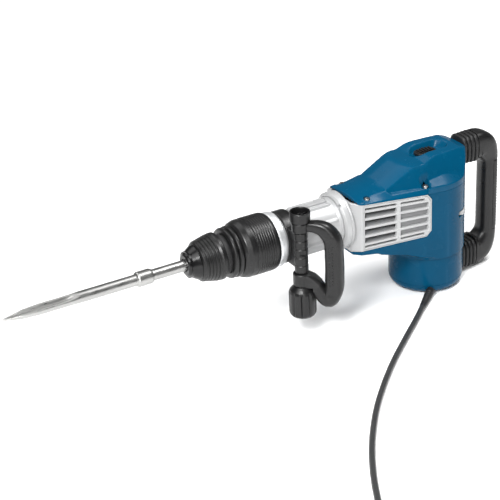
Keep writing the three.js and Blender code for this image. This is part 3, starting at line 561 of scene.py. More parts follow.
def make_tie():
    """A hook-and-loop strap round one side of the coil."""
    n = 72
    outer, inner = oval(20.9, 19.2, 4.5, n), oval(19.9, 18.4, 4.5, n)
    points = []
    for y, ring in ((-9, outer), (9, outer), (9, inner), (-9, inner)):
        points += [(COIL_X + 56.3 + a, COIL_Y + y, 19.5 + b) for a, b in ring]
    faces = [[i * n + j, i * n + (j + 1) % n, ((i + 1) % 4) * n + (j + 1) % n, ((i + 1) % 4) * n + j]
             for i in range(4) for j in range(n)]
    return piece("coil_tie", mesh_of(points, faces), DARK, "housing", (), 0.2)


cord, CORD_LONG = make_cord()
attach(cord, "housing")
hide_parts("power_cord", "cord_coil")
plug, pins = make_plug()
tie = make_tie()


def make_relief():
    """The tapered bend relief with ring slots where the cord leaves the end cap."""
    side = RELIEF_WAY.cross(Vector((0, 0, 1))).normalized()
    centres, sections = [], []
    count = 78
    for i in range(count + 1):
        s = RELIEF_LONG * i / count
        r = 7.5 - 2.3 * s / RELIEF_LONG
        if 10 < s < 47 and (s % 5.2) < 1.9:
            r -= 1.1
        if i == count:
            r -= 0.3
        centres.append(RELIEF_ROOT + RELIEF_WAY * s)
        sections.append(oval(r, r, 2, 32))
    piece("cord_relief", sweep(centres, sections, side), RUBBER, "housing", ("strain_relief",))


make_relief()

# --- casing

FRONT_X, FRONT_HALF, SHOULDER_X, SHOULDER_HALF = -170, 34, -156, 44.5
BODY_R, REAR_ANGLE = 64, math.radians(100)
SLOPE = (BODY_R * math.sin(REAR_ANGLE) - SHOULDER_HALF) / (BODY_R * math.cos(REAR_ANGLE) - SHOULDER_X)


def body_plan(inset=0.0, soft=0.0):
    """The casing from above: a blunt front, sides that spread, and a round rear."""
    r = BODY_R - inset
    arc = [(r * math.cos(a), r * math.sin(a))
           for a in (-REAR_ANGLE + 2 * REAR_ANGLE * k / 60 for k in range(61))]
    front = [(SHOULDER_X + inset / 2, SHOULDER_HALF - inset, soft * 1.3),
             (FRONT_X + inset, FRONT_HALF - inset, soft), (FRONT_X + inset, inset - FRONT_HALF, soft),
             (SHOULDER_X + inset / 2, inset - SHOULDER_HALF, soft * 1.3)]
    return soften([*arc, *front], 0, True, 5)


def window(grow, inset=0.0):
    """The outline of a side window in x and z: its top follows the seam, its rear corners are cut."""
    x0, x1 = -151.5 + inset, -33.2 - inset

    def top(x):
        return between(SEAM, x) - 2.6 - inset
    return soften([
        (x0, 115.4 + inset, 1.5), (x1 - 8.5, 115.4 + inset, 2), (x1, 124 + inset, 2),
        (x1, top(x1) - 8.6, 2), (x1 - 7, top(x1 - 7), 2), (x0, top(x0), 1.5),
    ], grow, True, 3)


def gear_housing():
    side = [(-171, 113), (-40, 113), (-31, 122), (-31, 178), (-38.5, 187.4), (-156, 194.5), (-171, 198.5)]
    outer = prism(side, -70, 70, "Y")
    inner = prism(body_plan(5), 117, 211)
    neck_hole = lathe([(-172, 0), (-172, 31), (-162, 31), (-162, 0)])
    me = shape(outer, ("*", prism(body_plan(0, soft=4), 113, 210)), ("-", inner),
               ("-", prism(window(0), -70, 70, "Y")), ("-", neck_hole))
    piece("gear_case", me, CAST, "housing", ("gear_housing",), 0.9, 24)


def turned_panel(sign, me, depth):
    """Puts a panel drawn in x and z (with y as depth) on the sloping side wall."""
    lean = Matrix(((1, 0, 0, 0), (sign * SLOPE, 1, 0, 0), (0, 0, 1, 0), (0, 0, 0, 1)))
    return moved(me, Matrix.Translation((0, sign * (SHOULDER_HALF + SLOPE * -SHOULDER_X - depth), 0)) @ lean)


SLOT_ROWS = ((0.035, 0.085), (0.14, 0.27), (0.325, 0.475), (0.53, 0.675), (0.73, 0.865), (0.915, 0.965))
PANEL_LOW, PANEL_FRONT, PANEL_REAR, POST = 116.2, -150.0, -37.0, (-94.0, -87.0)


def panel_z(x, part):
    """A height on the panel, as a part of the way down from its sloping top edge."""
    top = between(SEAM, x) - 3.4
    return top - part * (top - PANEL_LOW)


def grille(sign):
    """A louvred panel: six rows of slots, open in front of the post, with a plate behind it at the rear; the
    plate and the slot sills are painted darker grey as shade in the recesses.
    """
    tools = []
    for upper, lower in SLOT_ROWS:
        for a, b in ((PANEL_FRONT, POST[0]), (POST[1], PANEL_REAR)):
            thin = lower - upper < 0.06
            if b == PANEL_REAR and thin:
                b -= 7
            soft = 0.8 if thin else 2.2
            slot = soften([(a, panel_z(a, lower), 1.0), (b, panel_z(b, lower), soft),
                           (b, panel_z(b, upper), soft), (a, panel_z(a, upper), 1.0)], 0, True, 4)
            tools.append(("-", prism(slot, -12, 12, "Y")))
    block = shape(prism(window(0, 0.15), -2, 2, "Y"),
                  ("+", prism(window(0, 2.0), min(0, sign * -4), max(0, sign * -4), "Y")), *tools)
    name = "left" if sign < 0 else "right"
    panel = turned_panel(sign, block, 1.7)
    piece(f"grille_panel_{name}", panel, GRILLE, "housing", (f"grille_{name}",), 0.55, 30)
    rows = [(a[1] + b[0]) / 2 for a, b in zip(SLOT_ROWS, SLOT_ROWS[1:])]
    beads = [rod_y(1.9, sign, x, panel_z(x, row)) for row in rows for x in (POST[0] + 0.8, POST[1] - 0.8)]
    piece(f"grille_beads_{name}", turned_panel(sign, joined(*beads), 1.7), GRILLE, "housing", ())
    back = turned_panel(sign, prism(window(0, 4), -0.6, 0.6, "Y"), 11.0)
    piece(f"grille_backing_{name}", back, DARK, "housing", (), 0.2)
    # the slot sills are painted darker grey as shade
    sills = [sill(sign, upper, lower) for upper, lower in SLOT_ROWS[1:-1]]
    piece(f"grille_sills_{name}", turned_panel(sign, joined(*sills), 1.7), GRILLE_PAINTED_SHADE, "housing")
    # the plate behind the rear slots is painted darker grey as shade
    plate = shape(prism(window(0, 2.6), -0.7, 0.7, "Y"), ("*", box(POST[0] + 2, 0, -9, 9, 100, 200)))
    piece(f"grille_painted_shade_{name}", turned_panel(sign, plate, 5.2), GRILLE_PAINTED_SHADE, "housing", bevel=0.1)


def sill(sign, upper, lower):
    """The sloping floor of one open slot, from the slat below it back into the casing."""
    points = []
    for x in (PANEL_FRONT - 0.8, POST[0] + 0.8):
        foot, top = panel_z(x, lower) - 0.8, panel_z(x, lower + (upper - lower) * 0.34)
        points += [(x, -sign * 1.4, foot), (x, -sign * 8.4, foot), (x, -sign * 8.4, top)]
    faces = [[0, 1, 2], [3, 5, 4], [0, 3, 4, 1], [1, 4, 5, 2], [2, 5, 3, 0]]
    return mesh_of(points, faces)


def rod_y(r, sign, x, z):
    """A rounded bead on the face of a panel."""
    me = lathe([(-1.0, 0), (-1.0, r), (0.6, r, 0.8), (1.1, r - 0.9, 0.4), (1.25, 0)], "Z", (0, 0), 20)
    return moved(me, Matrix.Translation((x, sign * 1.6, z)) @ Matrix.Rotation(-sign * math.pi / 2, 4, "X"))


def motor_housing():
    """The blue lower casing: a body that flares out of the motor's bucket, hollow, with a dial slot."""
    side = soften([
        (-171, 112.7), (-168, 108, 3), (-128, 103, 12), (-68, 72, 5), (-66, 66), (70, 66), (70, 187),
        (-38, 187), (-30.7, 178.3), (-30.7, 122), (-39.7, 112.7),
    ], 0, True, 5)
    outer = prism(side, -70, 70, "Y")
    bucket = lathe([(16.3, 0), (16.3, 62), (58, 62), (64, 61.2), (67, 61.2), (67, 0)], "Z", (0, 0), 128)
    room = rod(58, 10, 200, 0, 0, 96)
    rear_room = shape(prism(body_plan(4), 113, 200), ("*", box(-45, 70, -70, 70, 113, 200)))
    dial_slot = prism(rounded(24, 128.5, 49, 138.5, 2.5), -60, -32, "Y")
    flare = lathe([(60, 0), (60, 64.2), (67, 64.2), (72, 66.5), (88, 92), (104, 146), (106, 250), (200, 250),
                   (200, 0)], "Z", (0, 0), 128, 6, 4)
    me = shape(outer, ("*", prism(body_plan(0, soft=4), 66, 187)), ("*", flare), ("+", bucket), ("-", room),
               ("-", rear_room), ("-", dial_slot))
    piece("motor_case", me, BLUE, "housing", ("motor_housing",), 0.6, 34, segments=3)


def end_cap():
    """The bucket's bottom: a turned cap with a foot ring, air slots and three screw wells."""
    cap = lathe([(0, 0), (0, 40), (1.6, 41), (1.6, 43), (0, 44), (0, 46, 3), (2.2, 53.5, 8), (6, 58.5, 8),
                 (11, 61.3, 6), (16, 62), (16, 58), (12, 56), (6, 50), (4, 0)], "Z", (0, 0), 128, 0, 4)
    slots = []
    for i in range(12):
        slot = prism(rounded(20, -1.6, 36, 1.6, 1.5), -2, 8)
        slots.append(("-", moved(slot, Matrix.Rotation(i * math.pi / 6, 4, "Z"))))
    wells = [("-", rod(4.2, -1, 3, 48 * math.cos(a), 48 * math.sin(a), 24))
             for a in (math.radians(30 + 120 * k) for k in range(3))]
    piece("end_cap_shell", shape(cap, *slots, *wells), BLUE, "housing", ("motor_end_cap",), 0.4, 40)


# --- top cover

# heights, half widths and slopes of the cover along x
ROOF = [(-171, 231.5), (-62, 231.5), (-31, 233), (-17, 239.2), (-8, 241), (44, 241), (58, 236.8),
        (64.2, 234)]
DECK = [(-160, 202), (-106, 208.6), (-98, 204)]
STRIP_HIGH = [(-160, 200.8), (-108, 206.8), (-43, 206.2), (-31, 207.5)]
WALL_FOOT = [(-160, 26.2), (-108, 35.6), (-43, 46.8), (-31, 47.2), (21, 48), (50, 45.5), (64, 40)]
WALL_STEEP = [(-160, 3.8), (-62, 3.7), (-37, 3.2), (20, 2.35), (64, 2.2)]


def smin(a, b, k):
    """The smaller of two heights, blended where they are within k of each other."""
    h = max(k - abs(a - b), 0) / k
    return min(a, b) - h * h * k / 4


def smax(a, b, k):
    return -smin(-a, -b, k)


def cover_top(x, y, inward):
    """Height of the cover over a point, which lies that far inside its outline."""
    ay = abs(y)
    seam_z = between(SEAM, x)
    foot, high = between(WALL_FOOT, x), between(STRIP_HIGH, x)
    roof = between(ROOF, x) - 1.2 * (ay / 36) ** 2
    wall = high + (foot - ay) * between(WALL_STEEP, x)
    if x < -37:
        half = SHOULDER_HALF + SLOPE * (x - SHOULDER_X)
        low = seam_z + 1.4
        wide = max(4, half - foot)
        strip = low + (high - low) * min(1, (half - ay) / wide) + 8 * max(0, half - ay - wide)
        if x < -150:
            strip = max(strip, low + inward * 0.7)
        deck = between(DECK, x) - 3.2 * (ay / 34) ** 2
        slope = 208.5 + 0.5227 * (x + 106) - 4.6 * (max(0, ay - 11) / 25) ** 1.7
        block = smin(smin(roof, slope, 3.5), wall, 1.2)
        height = smin(smax(deck, block, 2.5), strip, 0.8)
    else:
        ledge = 197.0 + min(inward, 16) * 0.7
        height = smin(roof, smax(wall, ledge, 0.8), 1.2)
    if ay > 30:
        height = smin(height, 196.2 + 6 * max(0, abs(x - NOTCH_X) - 5.8, (45.6 - ay) * 2.4), 0.6)
    # the oval recess of the slide switch: open to the front, with a long ramp behind it
    dx, dy = max(0, x - 20, -16 - x), max(0, ay - 7)
    out = math.hypot(dx, dy) - 6.2
    if out < 18:
        along = min(1, dx / (dx + dy + 0.01))
        rise = 2.2 + ((1.0 if x > 0 else 0.36) - 2.2) * along ** 1.5
        height = smin(height, 229 + max(0, out) * rise, 1.6)
    return height


COVER_FRONT, COVER_FRONT_HALF = -160, 41.3
SPINE_FRONT = -128.0  # the cover's spine runs from here to x = 0
COVER_LIFT = 0.3  # gap between the seam and the cover's foot
NOTCH_X = -37.2  # middle of the notch for the rear screw


def cover_outline():
    """Points round the cover's foot with the spine point each one looks to."""
    half = [(float(COVER_FRONT), -COVER_FRONT_HALF * k / 24, SPINE_FRONT) for k in range(24)]
    for x in [COVER_FRONT + 0.8 * k for k in range(5)]:
        half.append((x, -(COVER_FRONT_HALF + 3.2 * (x - COVER_FRONT) / 4), SPINE_FRONT))
    steps = 96
    end_x = BODY_R * math.cos(REAR_ANGLE)
    for k in range(1, steps + 1):
        x = SHOULDER_X + (end_x - SHOULDER_X) * k / steps
        half.append((x, -(SHOULDER_HALF + SLOPE * (x - SHOULDER_X)), min(0, max(SPINE_FRONT, x))))
    for k in range(1, 49):
        a = -REAR_ANGLE + REAR_ANGLE * k / 48
        half.append((BODY_R * math.cos(a), BODY_R * math.sin(a), min(0, BODY_R * math.cos(a))))
    mirror = [(x, -y, s) for x, y, s in reversed(half[1:-1])]
    return half + mirror


def cover_shell(outline, inset, drop, fine):
    """One skin of the cover: rings of points from the foot up and inward to the spine."""
    near = [0.35, 1.1, 2, 3.2, 4.5, 6, 7.5, 9, 10.5, 11.8, 12.8, 13.6, 14.4, 15.2, 16, 16.8, 17.6, 18.6,
            20, 22]
    if not fine:
        near = [1.5, 4, 8, 12, 14, 16, 18, 22]
    inner = 30 if fine else 12
    rings = []
    for x, y, spine in outline:
        start, goal = Vector((x, y)), Vector((spine, 0))
        way = (goal - start)
        long = way.length
        way.normalize()
        spots = near + [22 + (long - 22) * k / inner for k in range(1, inner)]
        column = []
        p0 = start + way * inset
        first = cover_top(p0.x, p0.y, inset) - drop
        base = between(SEAM, x) + COVER_LIFT
        column.append((p0.x, p0.y, base))
        column.append((p0.x, p0.y, max(base + 0.1, first - 1.1)))
        for o in spots:
            p = start + way * max(o, inset) if o < 22 else start + way * o
            z = cover_top(p.x, p.y, max(o, inset)) - drop
            if o == near[0]:
                z -= 0.35
            column.append((p.x, p.y, max(z, base + 0.3)))
        rings.append(column)
    return rings


def top_cover():
    """The cover as an outer and an inner skin joined at the foot, with a well for each screw."""
    outline = cover_outline()
    outer = cover_shell(outline, 0, 0, True)
    inner = cover_shell(outline, 4, 4.6, False)
    points, faces = [], []

    def skin(rings):
        base, n, rows = len(points), len(rings), len(rings[0])
        for column in rings:
            points.extend(column)
        for i in range(n):
            j = (i + 1) % n
            for r in range(rows - 1):
                faces.append([base + i * rows + r, base + j * rows + r, base + j * rows + r + 1,
                              base + i * rows + r + 1])
        # the last ring is closed along the spine: left and right columns mirror each other
        for i in range(n // 2):
            j = i + 1
            a, b = base + i * rows + rows - 1, base + j * rows + rows - 1
            c, d = base + ((n - j) % n) * rows + rows - 1, base + ((n - i) % n) * rows + rows - 1
            face = list(dict.fromkeys([a, b, c, d]))
            if len(face) > 2:
                faces.append(face)
        return base, rows

    b0, r0 = skin(outer)
    b1, r1 = skin(inner)
    n = len(outline)
    for i in range(n):
        j = (i + 1) % n
        faces.append([b0 + i * r0, b0 + j * r0, b1 + j * r1, b1 + i * r1])
    me = mesh_of(points, faces)
    tools = []
    for x, y in COVER_SCREWS:
        tools.append(("-", lathe([(195.7, 0), (195.7, 5.4), (216, 5.6), (216, 0)], "Z", (x, y), 40)))
        tools.append(("-", rod(2.5, 170, 202, x, y, 16)))
    piece("cover_shell", shape(me, *tools), BLUE, "housing", ("top_cover",), sharp=46)


gear_housing()
for side_sign in (-1, 1):
    grille(side_sign)
motor_housing()
end_cap()
top_cover()


def cover_screws():
    """Socket-head screws with a turned edge, seated in the cover's four wells."""
    for i, (x, y) in enumerate(COVER_SCREWS):
        head = lathe([(184, 0), (184, 2.1), (196, 2.1), (196, 4.6), (199.4, 4.6, 0.5), (200, 4.1, 0.3),
                      (200, 0)], "Z", (x, y), 40)
        socket = prism([(x + 2.3 * math.cos(a), y + 2.3 * math.sin(a))
                        for a in (math.radians(60 * k + 10) for k in range(6))], 197.6, 201)
        piece(f"cover_screw_head_{i + 1}", shape(head, ("-", socket)), STEEL, "housing",
              (f"cover_screw_{i + 1}",), 0.12, 40)


def gasket():
    """Short black seal ends that show between the casting and the front of the cover."""
    parts = [box(-160.4, -159.2, y - 2.2, y + 2.2, 196.3, 197.6) for y in range(-36, 37, 8)]
    return joined(*parts)


# --- barrel


def neck():
    """The cast barrel: long flats and raised ribs along it, short ribs at the rear, bolt pads."""
    def ribbed(a, r, t):
        if not -258 < a < -191 or r < 37:
            return r
        fade = min(1, (a + 258) / 5, (-191 - a) / 5)
        wave = math.cos(8 * (t - 0.3 + math.pi / 2))
        rib = max(0, wave) ** 8
        return r + fade * (3.2 * rib - 0.3)
    line = [(-362, 25.5), (-362, 33, 1), (-302.7, 33), (-302.7, 38)]
    line += [(-288 + i * 2.0, 38) for i in range(0, 49)]
    line += [(-190.5, 38.4), (-188, 41, 1.5), (-170.3, 41), (-170.3, 25.5), (-362, 25.5)]
    body = lathe(line, "X", (0, AXIS_Z), 160, 0, 3, ribbed)
    extras = []
    for i in range(12):
        a = math.radians(-150 + 13 * i)
        rib = prism(rounded(-208, -1.5, -193, 1.5, 1.4), 37, 40.6)
        extras.append(("+", about_axis(rib, a)))
    for x0, x1, half, soft in ((-262, -232, 9, 3), (-232, -196, 5, 2)):
        extras.append(("+", about_axis(prism(rounded(x0, -half, x1, half, soft), 30, 41.3))))
    piece("barrel_casting", shape(body, *extras), CAST, "housing", ("barrel_neck",),
          0.5, 35, sharp=30)


def neck_collar():
    line = [(-186, 41.3), (-186, 44, 1), (-183, 47, 1.5), (-176, 48, 1), (-174.6, 46.9, 0.5),
            (-173.4, 46.9, 0.5), (-172.4, 47.9, 0.8), (-170.3, 47.6, 0.5), (-170.3, 41.3), (-186, 41.3)]
    ring = lathe(line, "X", (0, AXIS_Z), 128, 0, 4)
    lugs = []
    for a in (35, 145, 215, 325):
        lugs.append(("-", about_axis(rod_x(2.6, -188, -182.6, 0, 44.2), math.radians(a))))
    piece("neck_collar_ring", shape(ring, *lugs), CAST, "housing", ("neck_collar",), 0.4, 40)


def rod_x(r, x0, x1, y, z, n=32):
    return lathe([(x0, 0), (x0, r), (x1, r), (x1, 0)], "X", (y, z), n)


def front_shroud():
    line = [(-363.7, 33.3), (-363.7, 39, 1.5), (-360, 43.6, 5), (-352, 46.3, 4), (-345.5, 46.6, 1),
            (-344.4, 45.3, 0.6), (-341.6, 45.3, 0.6), (-340.4, 46.7, 0.8)]
    x = -336.5
    while x < -311:
        line += [(x - 1.0, 46.7, 0.5), (x, 46.0, 0.4), (x + 1.0, 46.7, 0.5)]
        x += 4.1
    line += [(-308, 46.6, 1), (-304.4, 45.6, 1), (-303.3, 44.4, 0.5), (-303.3, 33.3), (-363.7, 33.3)]
    piece("front_shroud_shell", lathe(line, "X", (0, AXIS_Z), 128, 0, 3), BLACK, "housing",
          ("front_shroud",), sharp=45)


def silver_ring():
    line = [(-302.7, 38.3), (-302.7, 44.2, 0.6), (-300, 44.6, 1), (-292, 44.2, 1.5), (-288.6, 42.4, 1),
            (-288, 41.4, 0.4), (-288, 38.3), (-302.7, 38.3)]
    piece("silver_ring_band", lathe(line, "X", (0, AXIS_Z), 128, 0, 3), SILVER, "housing",
          ("silver_ring",), sharp=45)


def tool_holder():
    piece("tool_sleeve_turned", lathe([
        (-445, 9.3, 0.4), (-445, 21, 0.8), (-379, 21), (-379, 24.5, 0.5), (-302, 24.5, 0.5), (-302, 14.2),
        (-346, 14.2, 0.5), (-346, 9.3), (-445, 9.3, 0.4)], n=96), STEEL, "tool_holder", ("tool_sleeve",))
    piece("gap_band_ring", lathe([
        (-391.4, 21.3), (-391.4, 31.6, 1), (-388, 32.3, 1), (-384.6, 32.3, 1), (-381.3, 31.7, 1),
        (-381.3, 21.3), (-391.4, 21.3)], n=96), DARK, "tool_holder", ("gap_band",))
    piece("dust_cap_cone", lathe([
        (-449, 10.2, 0.3), (-449, 15.3, 0.8), (-447.6, 17.8, 1.2), (-439, 23.2, 12), (-432.2, 27.3, 0.8),
        (-430.3, 27.5, 0.4), (-430.3, 21.3), (-445.5, 21.3), (-445.5, 10.2, 0.3), (-449, 10.2, 0.3)],
        n=96, steps=5),
        GLOSS, "tool_holder", ("dust_cap",), sharp=45)
    for name, x0, x1, top in (("front", -381, -373, 40.6), ("rear", -372.7, -364.3, 41.4)):
        piece(f"adjusting_ring_{name}_turned", lathe([
            (x0, 25.3), (x0, top - 3.6, 0.8), (x0 + 1.6, top - 0.9, 1.5), ((x0 + x1) / 2, top, 4),
            (x1 - 1.6, top - 0.9, 1.5), (x1, top - 3.6, 0.8), (x1, 25.3), (x0, 25.3)], n=96), BLACK,
            "tool_holder", (f"adjusting_ring_{name}",), sharp=45)


def locking_sleeve():
    line = [(-430, 21.3), (-430, 28.2, 0.8), (-428.4, 30.2, 0.8)]
    for i in range(5):
        x, r = -427 + i * 5.2, 30.6 + i * 1.15
        line += [(x, r, 0.4), (x + 0.7, r + 1.5, 0.7), (x + 3.6, r + 2.1, 0.8), (x + 4.3, r + 0.6, 0.4)]
    line += [(-400.6, 36.6, 1), (-398, 37.8, 1.5), (-393.4, 37.9, 1.2), (-392, 36.6, 0.6), (-392, 32.8),
             (-403, 32.8), (-403, 21.3), (-430, 21.3)]
    piece("locking_sleeve_turned", lathe(line, n=128), BLACK, "locking_sleeve", ("locking_sleeve",),
          sharp=50)


def chisel():
    """A pointed chisel: four long flutes ground into a round bar, a collar, and a slotted shank."""
    line = [(-747, 0), (-747, 0.8)]
    for x in [-746, -744.5, -742, -739] + list(range(-736, -612, 3)):
        line.append((x, min(9, 1.0 + (x + 747) * 0.2 if x < -715 else 7.4 + (x + 715) * 0.06)))
    line += [(-532, 9), (-529.6, 11.4, 0.8), (-528, 12, 0.6), (-508.4, 12, 0.6), (-506.6, 11.4, 0.8),
             (-503, 9), (-349.5, 9), (-347, 7.3), (-347, 0)]

    def flutes(a, r, t):
        if a > -622:
            return r
        depth = ease(min(1, max(0, (a + 745) / 14))) * ease(min(1, max(0, (-622 - a) / 30)))
        groove = (0.5 + 0.5 * math.cos(4 * (t - math.radians(38)))) ** 0.9
        return r - depth * min(4.1, r * 0.52) * groove
    bar = lathe(line, "X", (0, AXIS_Z), 96, 0, 3, flutes)
    cuts = []
    for turn in (0, math.pi):
        slot = prism(rounded(-413, -3, -377, 3, 2.9), 6.5, 12)
        cuts.append(("-", about_axis(slot, turn)))
    piece("chisel_bar", shape(bar, *cuts), STEEL, "chisel", ("chisel",), sharp=42)


# --- side handle


def clamp_band():
    band = lathe([(-286, 38.3), (-286, 41.4, 0.8), (-284.6, 42, 0.6), (-266.4, 42, 0.6), (-265, 41.4, 0.8),
                  (-265, 38.3), (-286, 38.3)], "X", (0, AXIS_Z), 96)
    block = shape(prism(rounded(-285, BOLT_Y - 2, -267, -30, 3), 128, 188),
                  ("-", rod_x(40, -290, -260, 0, AXIS_Z, 96)))
    line = [(120, 0), (120, 9.4, 0.5), (121, 10.2, 0.5)]
    for z in (122, 136, 150, 164, 178):
        line += [(z, 10.2, 0.4), (z + 0.7, 11, 0.6), (z + 10.6, 11, 0.6), (z + 11.4, 10.2, 0.4)]
    line += [(189.6, 9.6, 0.4), (190, 0)]
    column = bolt_lathe(line)
    bolt_hole = rod(5.3, 100, 210, BOLT_X, BOLT_Y)
    slot = about_bolt(box(BOLT_X - 5, BOLT_X + 5, BOLT_Y - 14, BOLT_Y - 8.4, 151.5, 158.5), -14)
    me = shape(band, ("+", block), ("+", column), ("-", bolt_hole), ("-", slot))
    piece("clamp_band_strap", me, BLACK, "side_clamp", ("clamp_band",), 0.5, 35)


def bolt_cap():
    cup = bolt_lathe([(206.3, 0), (206.3, 13.6, 0.6), (208, 15.8, 1), (211, 16.1, 1), (221.5, 16.3, 0.8),
                      (223, 16.3, 0.5), (224, 15.7, 0.5), (224, 13.9, 0.4), (222.6, 13.2, 0.6), (212, 13),
                      (212, 0)], 80)
    hub = rod(4.6, 211.5, 219, BOLT_X, BOLT_Y, 40, 0.6)
    spokes = []
    for k in range(3):
        arm = prism(rounded(3, -1.1, 13.6, 1.1, 0.3), 211.5, 217.6)
        turn = Matrix.Translation((BOLT_X, BOLT_Y, 0)) @ Matrix.Rotation(math.radians(18 + 120 * k), 4, "Z")
        spokes.append(("+", moved(arm, turn)))
    hexagon = prism([(BOLT_X + 2.7 * math.cos(a), BOLT_Y + 2.7 * math.sin(a))
                     for a in (math.radians(60 * k) for k in range(6))], 214.5, 222)
    piece("bolt_cap_cup", shape(cup, ("+", hub), *spokes, ("-", hexagon)), BLACK, "side_clamp",
          ("bolt_cap",), 0.3, 40)


def loop_at(reach, z):
    return Vector((BOLT_X + reach * math.cos(LOOP_ANGLE), BOLT_Y + reach * math.sin(LOOP_ANGLE), z))


LOOP_SIDE = Vector((-math.sin(LOOP_ANGLE), math.cos(LOOP_ANGLE), 0))


def side_loop():
    """The D-shaped grip: a swept bar with flattened faces, a strip of dimples and a creased cuff."""
    path = [(6, 198.4), (22, 198.8), (38, 193.0), (49.4, 177), (51.4, 148), (51.4, 116), (50, 92), (42, 75.5),
            (32, 82.5), (22, 98), (6, 108.5)]
    radii = [7.6, 9.6, 12.6, 14.6, 15.0, 15.0, 15.0, 14.2, 12.6, 11.4, 9.0]
    line = curve_through([loop_at(a, z) for a, z in path], 2.2)
    marks = [0.0]
    for a, b in zip(path, path[1:]):
        marks.append(marks[-1] + math.dist(a, b))
    table = [(m / marks[-1], r) for m, r in zip(marks, radii)]
    sections = []
    for i in range(len(line)):
        t = i / (len(line) - 1)
        r = between(table, t)
        reach = (line[i] - Vector((BOLT_X, BOLT_Y, line[i].z))).length
        section = oval(r, r * 0.99, 2.7, 56)
        # both broad faces of the grip are planed off into flat strips
        grip = ease(min(1, max(0, (reach - 42) / 5))) if 84 < line[i].z < 182 else 0
        limit = r * (1 - 0.075 * grip)
        sections.append([(max(-limit, min(limit, a)), b) for a, b in section])
    bar = sweep(line, sections, LOOP_SIDE)
    upper = bolt_lathe([(191, 0), (191, 13.2, 0.6), (192, 14, 0.6), (205, 14, 0.6), (206, 13.2, 0.6),
                        (206, 0)])
    lower = bolt_lathe([(98, 0), (98, 13, 0.6), (99.4, 14, 0.6), (117.6, 14, 0.8), (119, 12.6, 0.6),
                        (119, 0)])
    cuff_line = [loop_at(a, z) for a, z in ((4, 108), (14, 103.5), (24, 95.5))]
    cuff = sweep(cuff_line, [oval(12.4, 13.4, 3.4, 48), oval(13.2, 13.2, 3.4, 48), oval(12.6, 11.8, 3.4, 48)],
                 LOOP_SIDE)
    tools = [("+", upper), ("+", lower), ("+", cuff),
             ("-", rod(5.4, 60, 230, BOLT_X, BOLT_Y)), ("-", rod(15, 119, 190.7, BOLT_X, BOLT_Y, 64)),
             ("-", rod(22.7, 60, 97.5, BOLT_X, BOLT_Y, 96)), ("-", rod(24, 206, 230, BOLT_X, BOLT_Y, 64))]
    dimples = []
    for row in range(13):
        for col in (0, 1):
            z = 104 + row * 5.4 + col * 2.7
            for face in (-1, 1):
                at = loop_at(45.4 + 5.0 * col, z) + LOOP_SIDE * (face * 14.2)
                dimples.append(("-", dimple(at)))
    me = shape(bar, *tools, *dimples)
    piece("side_grip_loop", me, BLACK, "side_loop", ("side_loop",), sharp=34)


def dimple(at):
    pit = bpy.data.meshes.new("pit")
    bm = bmesh.new()
    bmesh.ops.create_icosphere(bm, subdivisions=2, radius=1.3)
    bm.to_mesh(pit)
    bm.free()
    return moved(pit, Matrix.Translation(at))


def clamp_knob():
    """A knob with ten broad flutes, a domed shoulder and a flat foot."""
    line = [(44, 0), (44, 15), (45.2, 16), (45.6, 18.6, 1.5), (49, 21, 3)]
    line += [(z, 21.6) for z in range(52, 84, 4)]
    line += [(86, 21.4, 2), (90, 19.8, 3), (94, 16.2, 2), (97, 13.2, 1), (97, 0)]

    def fluted(z, r, t):
        fade = ease(min(1, max(0, (z - 47) / 5))) * ease(min(1, max(0, (92 - z) / 7)))
        wave = abs(math.cos(5 * t))
        return r * (1 - 0.085 * fade * (1 - min(1, wave * 2.2)) ** 1.0) if r > 12 else r
    body = bolt_lathe(line, 160, 3, fluted)
    me = shape(body, ("-", rod(5.3, 69, 100, BOLT_X, BOLT_Y)))
    piece("clamp_knob_fluted", me, BLACK, "clamp_knob",
          ("clamp_knob",), sharp=34)


# --- rear handle

ARM_UP_Z, ARM_LOW_Z = 220, 27


def rear_handle():
    """One swept C: full, squarish arms that narrow into an oval grip."""
    keys = [  # x, z, half size across the path in the plane, half width in y, squareness
        (93, 221.5, 23.5, 20.8, 3.4), (103, 221.3, 23.2, 20.8, 3.4), (112, 216.5, 23.0, 20.2, 3.2),
        (119.5, 206, 20.6, 18.8, 3.0), (124.2, 194, 16.8, 17.2, 2.8), (125.1, 182, 14.9, 16.9, 2.7),
        (125, 150, 14.8, 16.8, 2.6), (125, 124, 14.8, 16.8, 2.6), (125, 96, 14.8, 16.8, 2.6),
        (125, 66, 14.9, 16.9, 2.7), (123.4, 54, 17.0, 17.2, 2.8), (118, 42, 20.4, 18.8, 3.0),
        (110.5, 32.8, 23.6, 20.2, 3.2), (103, 29.2, 25.0, 20.8, 3.4), (93, 28.9, 26.8, 20.8, 3.4),
    ]
    marks = [0.0]
    for a, b in zip(keys, keys[1:]):
        marks.append(marks[-1] + math.dist(a[:2], b[:2]))
    line = curve_through([(x, 0, z) for x, z, *_ in keys], 2.4)
    sections = []
    for i in range(len(line)):
        at = marks[-1] * i / (len(line) - 1)
        up, side, power = (between([(m, k[c]) for m, k in zip(marks, keys)], at) for c in (2, 3, 4))
        sections.append(oval(side, up, power, 64))
    bar = sweep(line, sections, (0, 1, 0))
    bores = [("-", rod_x(8, 90, 114, 0, z)) for z in (ARM_UP_Z, ARM_LOW_Z)]
    pad_room = prism(rounded(127, 62, 160, 190, 2), -30, 30, "Y")
    trim = shape(bar, ("*", box(93, 141.9, -21, 21, 1.5, 245)), *bores, ("-", pad_room))
    piece("rear_handle_body", trim, BLACK, "rear_handle", ("rear_handle",), 0.5, 42,
          sharp=34)


